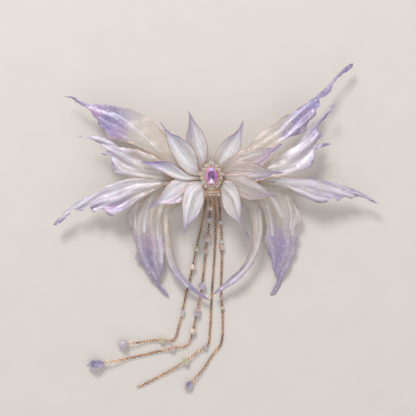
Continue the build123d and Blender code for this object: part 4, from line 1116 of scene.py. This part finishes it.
def wingMaterial():
    # cast film: clear cream near the flower, painted highlights on the folds, painted shade in the pleat
    # valleys, and dabs of dye towards the torn ends
    material, shader = newMaterial("wingFilm")
    look = filmLook
    grain = attributeOf("grain", "Vector")
    spot = here()
    broadWay = node("ShaderNodeMapping", {"Vector": grain, "Scale": (0.5, 0.05, 1.0)}).outputs["Vector"]
    fineWay = node("ShaderNodeMapping", {"Vector": grain, "Scale": (2.0, 0.11, 1.0)}).outputs["Vector"]
    broad = bandOf(noiseOf(broadWay, 1.0, 4.0, 0.6, 0.3), 0.42, 0.66)
    fine = bandOf(noiseOf(fineWay, 1.0, 5.0, 0.62, 0.4), 0.44, 0.68)
    cloud = bandOf(noiseOf(spot, 230.0, 5.0, 0.62), 0.36, 0.64)
    glitter = bandOf(noiseOf(spot, 1500.0, 3.0, 0.8), 0.53, 0.62)
    dyes = {tint: attributeOf(tint) for tint in dyeDabs}
    patchy = plus(times(cloud, 0.5), 0.62)
    ridge = attributeOf("ridge")
    crest, valleyShade = bandOf(ridge, 0.25, 0.9), bandOf(ridge, -0.15, -0.75)
    lilac = attributeOf("lilac")
    # the plain film, painted shade in its pleat valleys and its fine lines
    colour = mixColour(times(fine, plus(times(broad, 0.6), 0.3)), look["clear"], look["cream"])
    # painted shade: darker beige in the pleat valleys
    colour = mixColour(times(valleyShade, 0.75), colour, look["valleyShade"])
    colour = mixColour(times(lilac, plus(times(cloud, 0.5), 0.45)), colour, look["lavender"])
    edgeShare = times(bandOf(attributeOf("rim"), 0.1, 1.8, 1.0, 0.0),
                      bandOf(attributeOf("down"), 0.5, 0.8))
    colour = mixColour(times(edgeShare, 0.7), colour, look["lavender"])
    # dye
    violet = times(dyes["violet"], patchy)
    colour = mixColour(times(violet, 0.92), colour, look["violet"])
    colour = mixColour(times(times(dyes["blue"], patchy), 0.85), colour, look["blue"])
    colour = mixColour(times(times(dyes["pink"], patchy), 0.85), colour, look["pink"])
    # painted highlights along the folds and on the pleat crests, white pearl streaks, and flecks in the dye
    speck = bandOf(noiseOf(spot, 850.0, 5.0, 0.85), 0.585, 0.63)
    speck = times(speck, bandOf(plus(dyes["violet"], lilac), 0.2, 0.7))
    pearlAndHighlight = times(attributeOf("pearlAndHighlight"), plus(times(fine, 0.6), 0.5))
    # painted highlight: white on the pleat crests
    crestHighlight = times(times(crest, plus(times(glitter, 0.45), 0.45)),
                  bandOf(attributeOf("reach"), 20.0, 42.0, 0.2, 1.0))
    shine = mathOf("MAXIMUM", mathOf("MAXIMUM", pearlAndHighlight, crestHighlight), times(speck, 0.8))
    shine = mathOf("MAXIMUM", shine, times(times(fine, broad), 0.45))
    colour = mixColour(shine, colour, look["pearlAndHighlight"])
    setShader(shader, Base_Color=colour)
    alpha = bandOf(attributeOf("reach"), 12.0, 50.0, 0.26, 0.40)
    for layer, share in ((fine, 0.14), (lilac, 0.18), (violet, 0.42), (edgeShare, 0.25), (shine, 0.5)):
        alpha = plus(alpha, times(layer, share))
    setShader(shader, Alpha=bandOf(alpha, 0.0, 1.0, 0.0, 0.95))
    setShader(shader, Roughness=bandOf(cloud, 0.0, 1.0, 0.18, 0.4))
    crinkle = noiseOf(spot, 620.0, 5.0, 0.6, 0.5)
    height = plus(times(fine, 0.6), times(crinkle, 0.4))
    bumpOf(shader, height, 0.0003, 0.6)
    setShader(shader, Specular_IOR_Level=0.75, Coat_Weight=0.5, Coat_Roughness=0.24, Sheen_Weight=0.2,
              Metallic=0.1, Thin_Film_Thickness=320.0, Thin_Film_IOR=1.38)
    return material


def petalMaterial():
    # pearl film: a painted highlight band and painted shade, fine veins, smoky where it is thin, lilac at
    # the rim and violet at the tip
    material, shader = newMaterial("petalFilm")
    look = filmLook
    grain = attributeOf("grain", "Vector")
    spot = here()
    fineWay = node("ShaderNodeMapping", {"Vector": grain, "Scale": (1.1, 0.06, 1.0)}).outputs["Vector"]
    veinWay = node("ShaderNodeMapping", {"Vector": grain, "Scale": (3.4, 0.10, 1.0)}).outputs["Vector"]
    fine = bandOf(noiseOf(fineWay, 1.0, 4.0, 0.55, 0.2), 0.36, 0.66)
    vein = bandOf(noiseOf(veinWay, 1.0, 3.0, 0.5), 0.38, 0.62)
    cloud = bandOf(noiseOf(spot, 240.0, 4.0, 0.55), 0.35, 0.65)
    across, down, rim = (attributeOf(name) for name in ("across", "down", "rim"))
    smoke, tip, sheen, shade = (attributeOf(name) for name in ("smoke", "tip", "sheen", "shade"))
    base = mixColour(smoke, look["white"], look["smoke"])
    thin = mathOf("SUBTRACT", 1.0, smoke)
    base = mixColour(times(times(fine, thin), 0.65), base, look["cool"])
    # painted shade: olive over one side of the petal
    base = mixColour(times(shade, plus(times(vein, 0.35), 0.35)), base, look["shadeOlive"])
    dark = bandOf(vein, 0.45, 0.1)
    base = mixColour(times(dark, 0.36), base, look["vein"])
    middle = node("ShaderNodeMath", {0: across}, operation="ABSOLUTE").outputs[0]
    midrib = times(bandOf(middle, 0.02, 0.09, 1.0, 0.0), bandOf(down, 0.7, 0.9, 1.0, 0.0))
    base = mixColour(times(midrib, 0.4), base, look["vein"])
    # painted shade: olive near the petal's foot
    foot = bandOf(attributeOf("reach"), 5.5, 13.0, 0.75, 0.0)
    base = mixColour(foot, base, look["shadeOlive"])
    # painted highlight: the sheen band and pearl streaks in white
    bands = plus(times(vein, 0.8), 0.4)
    sheenAndStreaks = times(times(plus(sheen, times(fine, 0.34)), bands), plus(times(thin, 0.5), 0.5))
    base = mixColour(sheenAndStreaks, base, look["pearlAndHighlight"])
    rimShare = times(bandOf(rim, 0.1, 1.2, 1.0, 0.0), bandOf(down, 0.35, 0.8, 0.1, 0.6))
    base = mixColour(rimShare, base, look["lavender"])
    dye = times(tip, plus(times(vein, 0.55), 0.42))
    base = mixColour(times(dye, 0.95), base, look["tipBlue"])
    setShader(shader, Base_Color=base)
    alpha = mathOf("SUBTRACT", 0.80, times(smoke, 0.34))
    for layer, share in ((fine, 0.08), (sheenAndStreaks, 0.3), (dye, 0.25)):
        alpha = plus(alpha, times(layer, share))
    setShader(shader, Alpha=bandOf(alpha, 0.0, 1.0, 0.0, 0.97))
    setShader(shader, Roughness=bandOf(cloud, 0.0, 1.0, 0.16, 0.32))
    height = plus(times(fine, 0.55), times(vein, 0.35))
    bumpOf(shader, height, 0.0003, 0.6)
    setShader(shader, Specular_IOR_Level=0.75, Coat_Weight=0.5, Coat_Roughness=0.24, Sheen_Weight=0.2,
              Metallic=0.08, Thin_Film_Thickness=300.0, Thin_Film_IOR=1.38)
    return material


films = []
for seed, (name, cut) in enumerate({**petalCuts, **wingCuts}.items()):
    films.append(planFilm(name, cut, seed))
wingFilm, petalFilm = wingMaterial(), petalMaterial()
for film in films:
    makeFilm(film, petalFilm if film["kind"] == "petal" else wingFilm)
print("petal and wing films made")


# How far each edge is wired, from the root, as a share of the edge: the first edge, the second edge.
wireCut = {"petal": 0.13 * mm, "wing": 0.15 * mm, "lift": 0.06}
wiredShare = {
    "wing_left_upper": (0.62, 0.66), "wing_left_middle": (0.72, 0.36), "wing_left_lower": (0.5, 0.3),
    "wing_left_tail": (0.45, 0.4), "wing_left_ribbon": (0.8, 0.8), "wing_right_upper": (0.36, 0.6),
    "wing_right_middle": (0.34, 0.6), "wing_right_lower": (0.3, 0.55), "wing_right_tail": (0.4, 0.5),
    "wing_right_ribbon": (0.8, 0.8),
}


def wirePart(film, edge, share, radius):
    line = edge[::-1]
    along = lengthsOf(line) / lengthsOf(line)[-1]
    kept = evenly(line[along <= share + 1e-9], max(8, int(share * lengthsOf(line)[-1] / 0.9)))
    z = filmHeight(film, kept)[0] + wireCut["lift"]
    places = np.column_stack([kept, z]) * mm
    taper = 1 - 0.65 * smooth(0.8, 1.0, np.linspace(0, 1, len(kept)))
    return sweep(places, radius * taper)


def makeWires():
    for side in ("left", "right"):
        for kind in ("petal", "wing"):
            parts = []
            for film in films:
                if not film["name"].startswith(kind + "_" + side):
                    continue
                shares = wiredShare.get(film["name"], (0.93, 0.93))
                for edge, share in zip(film["edges"], shares):
                    parts.append(wirePart(film, edge, share, wireCut[kind]))
            piece = meshPiece(kind + "_rim_wires_" + side, *joinParts(parts), wireGold)
            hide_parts(kind + "_wires_" + side)


makeWires()
print("rim wires made")


jewelCut = {"halfX": 3.05, "halfY": 4.35, "girdle": 20.5, "crown": 1.2, "pavilion": 1.45, "table": 0.62,
            "haloX": 4.5, "haloY": 5.7, "haloCount": 16, "haloStone": 0.78, "haloFoot": 19.0,
            "settingTop": 19.0, "grain": 0.3}


def hullPart(corners):
    made = bmesh.new()
    for point in corners:
        made.verts.new(point)
    bmesh.ops.convex_hull(made, input=made.verts)
    bmesh.ops.dissolve_limit(made, angle_limit=0.01, verts=made.verts, edges=made.edges)
    mesh = bpy.data.meshes.new("hull")
    made.to_mesh(mesh)
    made.free()
    verts, faces = [v.co.copy() for v in mesh.vertices], [tuple(p.vertices) for p in mesh.polygons]
    bpy.data.meshes.remove(mesh)
    return verts, faces


def brilliant(centre, halfX, halfY, crown, pavilion, table, sides=8):
    rings = ((table, crown, 0.5), (0.85, crown * 0.55, 0.0), (1.0, 0.06, 0.5), (1.0, -0.06, 0.5),
             (0.55, -pavilion * 0.6, 0.0),
             (0.08, -pavilion, 0.0))
    points = []
    for share, height, turn in rings:
        count = sides * 2 if share == 1.0 else sides
        for k in range(count):
            angle = 2 * math.pi * (k + turn) / count
            points.append((centre[0] + halfX * share * math.cos(angle),
                           centre[1] + halfY * share * math.sin(angle),
                           centre[2] + height))
    return [Vector(p) * mm for p in points]


def jewelMaterial():
    # violet stone: a dark middle, a pink rim painted lighter on the facets that face the window lamp, and
    # two painted reflections: a bright window low down and a cold glint at the top
    material, shader = newMaterial("violetStone")
    place = node("ShaderNodeMapping",
                 {"Vector": here(), "Scale": (1000.0, 1000.0, 1000.0)}).outputs["Vector"]
    parts = node("ShaderNodeSeparateXYZ", {"Vector": place}).outputs
    aside = node("ShaderNodeMath", {0: parts["X"]}, operation="ABSOLUTE").outputs[0]

    def reflectionWedge(slope, low, high, fromEnd):
        # a triangular painted reflection that points to the middle
        raised = node("ShaderNodeMath", {0: parts["Y"], 1: fromEnd}, operation="MULTIPLY").outputs[0]
        less = node("ShaderNodeMath", {0: aside, 1: -slope, 2: raised}, operation="MULTIPLY_ADD").outputs[0]
        return bandOf(less, low, high)

    flat = node("ShaderNodeMapping", {"Vector": place, "Scale": (0.328, 0.23, 0.0)}).outputs["Vector"]
    out = node("ShaderNodeVectorMath", {0: flat}, operation="LENGTH").outputs["Value"]
    cell = node("ShaderNodeTexVoronoi", {"Vector": place, "Scale": 0.9})
    cellTone = node("ShaderNodeSeparateColor", {"Color": cell.outputs["Color"]}).outputs[0]
    facetLitAndTone = attributeOf("facetLightAndTone")
    colour = mixColour(times(cellTone, 0.8), tone(66, 40, 84), tone(150, 104, 160))
    # painted light: the rim facets that face the window lamp are a lighter pink
    rimTone = mixColour(facetLitAndTone, tone(134, 66, 134), tone(226, 150, 206))
    colour = mixColour(bandOf(out, 0.5, 0.72), colour, rimTone)
    # painted reflection: a bright white window low down
    bright = times(reflectionWedge(1.5, 0.9, 1.15, -1.0), bandOf(parts["Y"], -3.7, -3.4))
    colour = mixColour(bright, colour, tone(255, 238, 250))
    # painted glint: a cold blue window at the top
    topGlint = times(reflectionWedge(1.3, 1.9, 2.3, 1.0), bandOf(parts["Y"], 3.9, 3.6))
    colour = mixColour(topGlint, colour, tone(188, 196, 240))
    setShader(shader, Base_Color=colour)
    setShader(shader, Roughness=bandOf(cellTone, 0.0, 1.0, 0.03, 0.09))
    setShader(shader, IOR=1.6, Specular_IOR_Level=0.6, Coat_Weight=0.5, Coat_Roughness=0.03)
    return material


def ellipseSpot(halfX, halfY, angle):
    return halfX * math.cos(angle), halfY * math.sin(angle)


def makeJewel():
    cut = jewelCut
    centre = (0, 0, cut["girdle"])
    stone = brilliant(centre, cut["halfX"], cut["halfY"], cut["crown"], cut["pavilion"], cut["table"])
    jewel = meshPiece("jewel_cut", *hullPart(stone), jewelMaterial(), smoothShade=False)
    facetLightAndTones(jewel, 3)
    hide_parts("jewel")
    parts = []
    places = [ellipseSpot(cut["haloX"], cut["haloY"], 2 * math.pi * (k + 0.5) / cut["haloCount"])
              for k in range(cut["haloCount"])]
    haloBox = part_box("halo_stones")
    finialTop = haloBox[1].y / mm - cut["haloStone"]
    places += [(-0.62, finialTop), (0.62, finialTop)]
    for x, y in places:
        stone = brilliant((x, y, cut["haloFoot"] + 0.45), cut["haloStone"], cut["haloStone"], 0.35, 0.4,
                          0.55, 6)
        parts.append(hullPart(stone))
    halo = meshPiece("halo_stones_cut", *joinParts(parts), clearGlass, smoothShade=False)
    facetLightAndTones(halo, 5)
    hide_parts("halo_stones")


def makeGrains():
    # small gold grains outside the halo, beads between its stones and four claws over the jewel
    cut = jewelCut
    parts = []
    for k in range(32):
        x, y = ellipseSpot(cut["haloX"] + 0.95, cut["haloY"] + 0.95, 2 * math.pi * k / 32)
        radius = cut["grain"] if k % 2 else cut["grain"] * 0.8
        parts.append(placed(ball(radius * mm, 10, 6), Vector((x, y, cut["settingTop"] + 0.12)) * mm,
                            (0, 0, 1)))
    for k in range(cut["haloCount"]):
        for shift in (-0.42, 0.42):
            x, y = ellipseSpot(cut["haloX"] + shift * 0.9, cut["haloY"] + shift * 0.9,
                               2 * math.pi * k / cut["haloCount"])
            parts.append(placed(ball(0.2 * mm, 8, 6), Vector((x, y, cut["haloFoot"] + 0.55)) * mm,
                                (0, 0, 1)))
    for angle in (45, 135, 225, 315):
        turn = math.radians(angle)
        line = [Vector((*ellipseSpot(cut["halfX"] + out, cut["halfY"] + out, turn), z)) * mm
                for out, z in ((0.55, 19.2), (0.5, 20.3), (0.2, 21.0), (-0.35, 21.3))]
        parts.append(sweep(line, [0.26 * mm, 0.26 * mm, 0.24 * mm, 0.14 * mm], 8))
    grains = meshPiece("setting_grains", *joinParts(parts), roseGold)


makeJewel()
makeGrains()
print("jewel, halo and grains made")


def resinMaterial():
    # set resin: cloudy, with a soft gloss
    material, shader = newMaterial("coreResin")
    cloud = noiseOf(here(), 500.0, 5.0)
    bumpOf(shader, cloud, 0.0001, 0.3)
    setShader(shader, Base_Color=mixColour(cloud, tone(214, 200, 182), tone(238, 230, 220)),
              Roughness=bandOf(cloud, 0.3, 0.7, 0.3, 0.5), Coat_Weight=0.4, Coat_Roughness=0.15)
    return material


# the nodes that keep their own shape and only get a material
keptLook = {
    "core": resinMaterial(), "back_plate": roseGold, "jewel_setting": roseGold, "chain_hanger": roseGold,
    "jump_rings": roseGold, "clip_base": clipSteel, "clip_bow": clipSteel, "clip_catch": clipSteel,
    "clasp_arm": clipSteel, "hinge_pin": clipSteel, "rivets": clipSteel,
}
for name, material in keptLook.items():
    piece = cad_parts[name]
    piece.data.materials.clear()
    piece.data.materials.append(material)
print("kept parts finished")
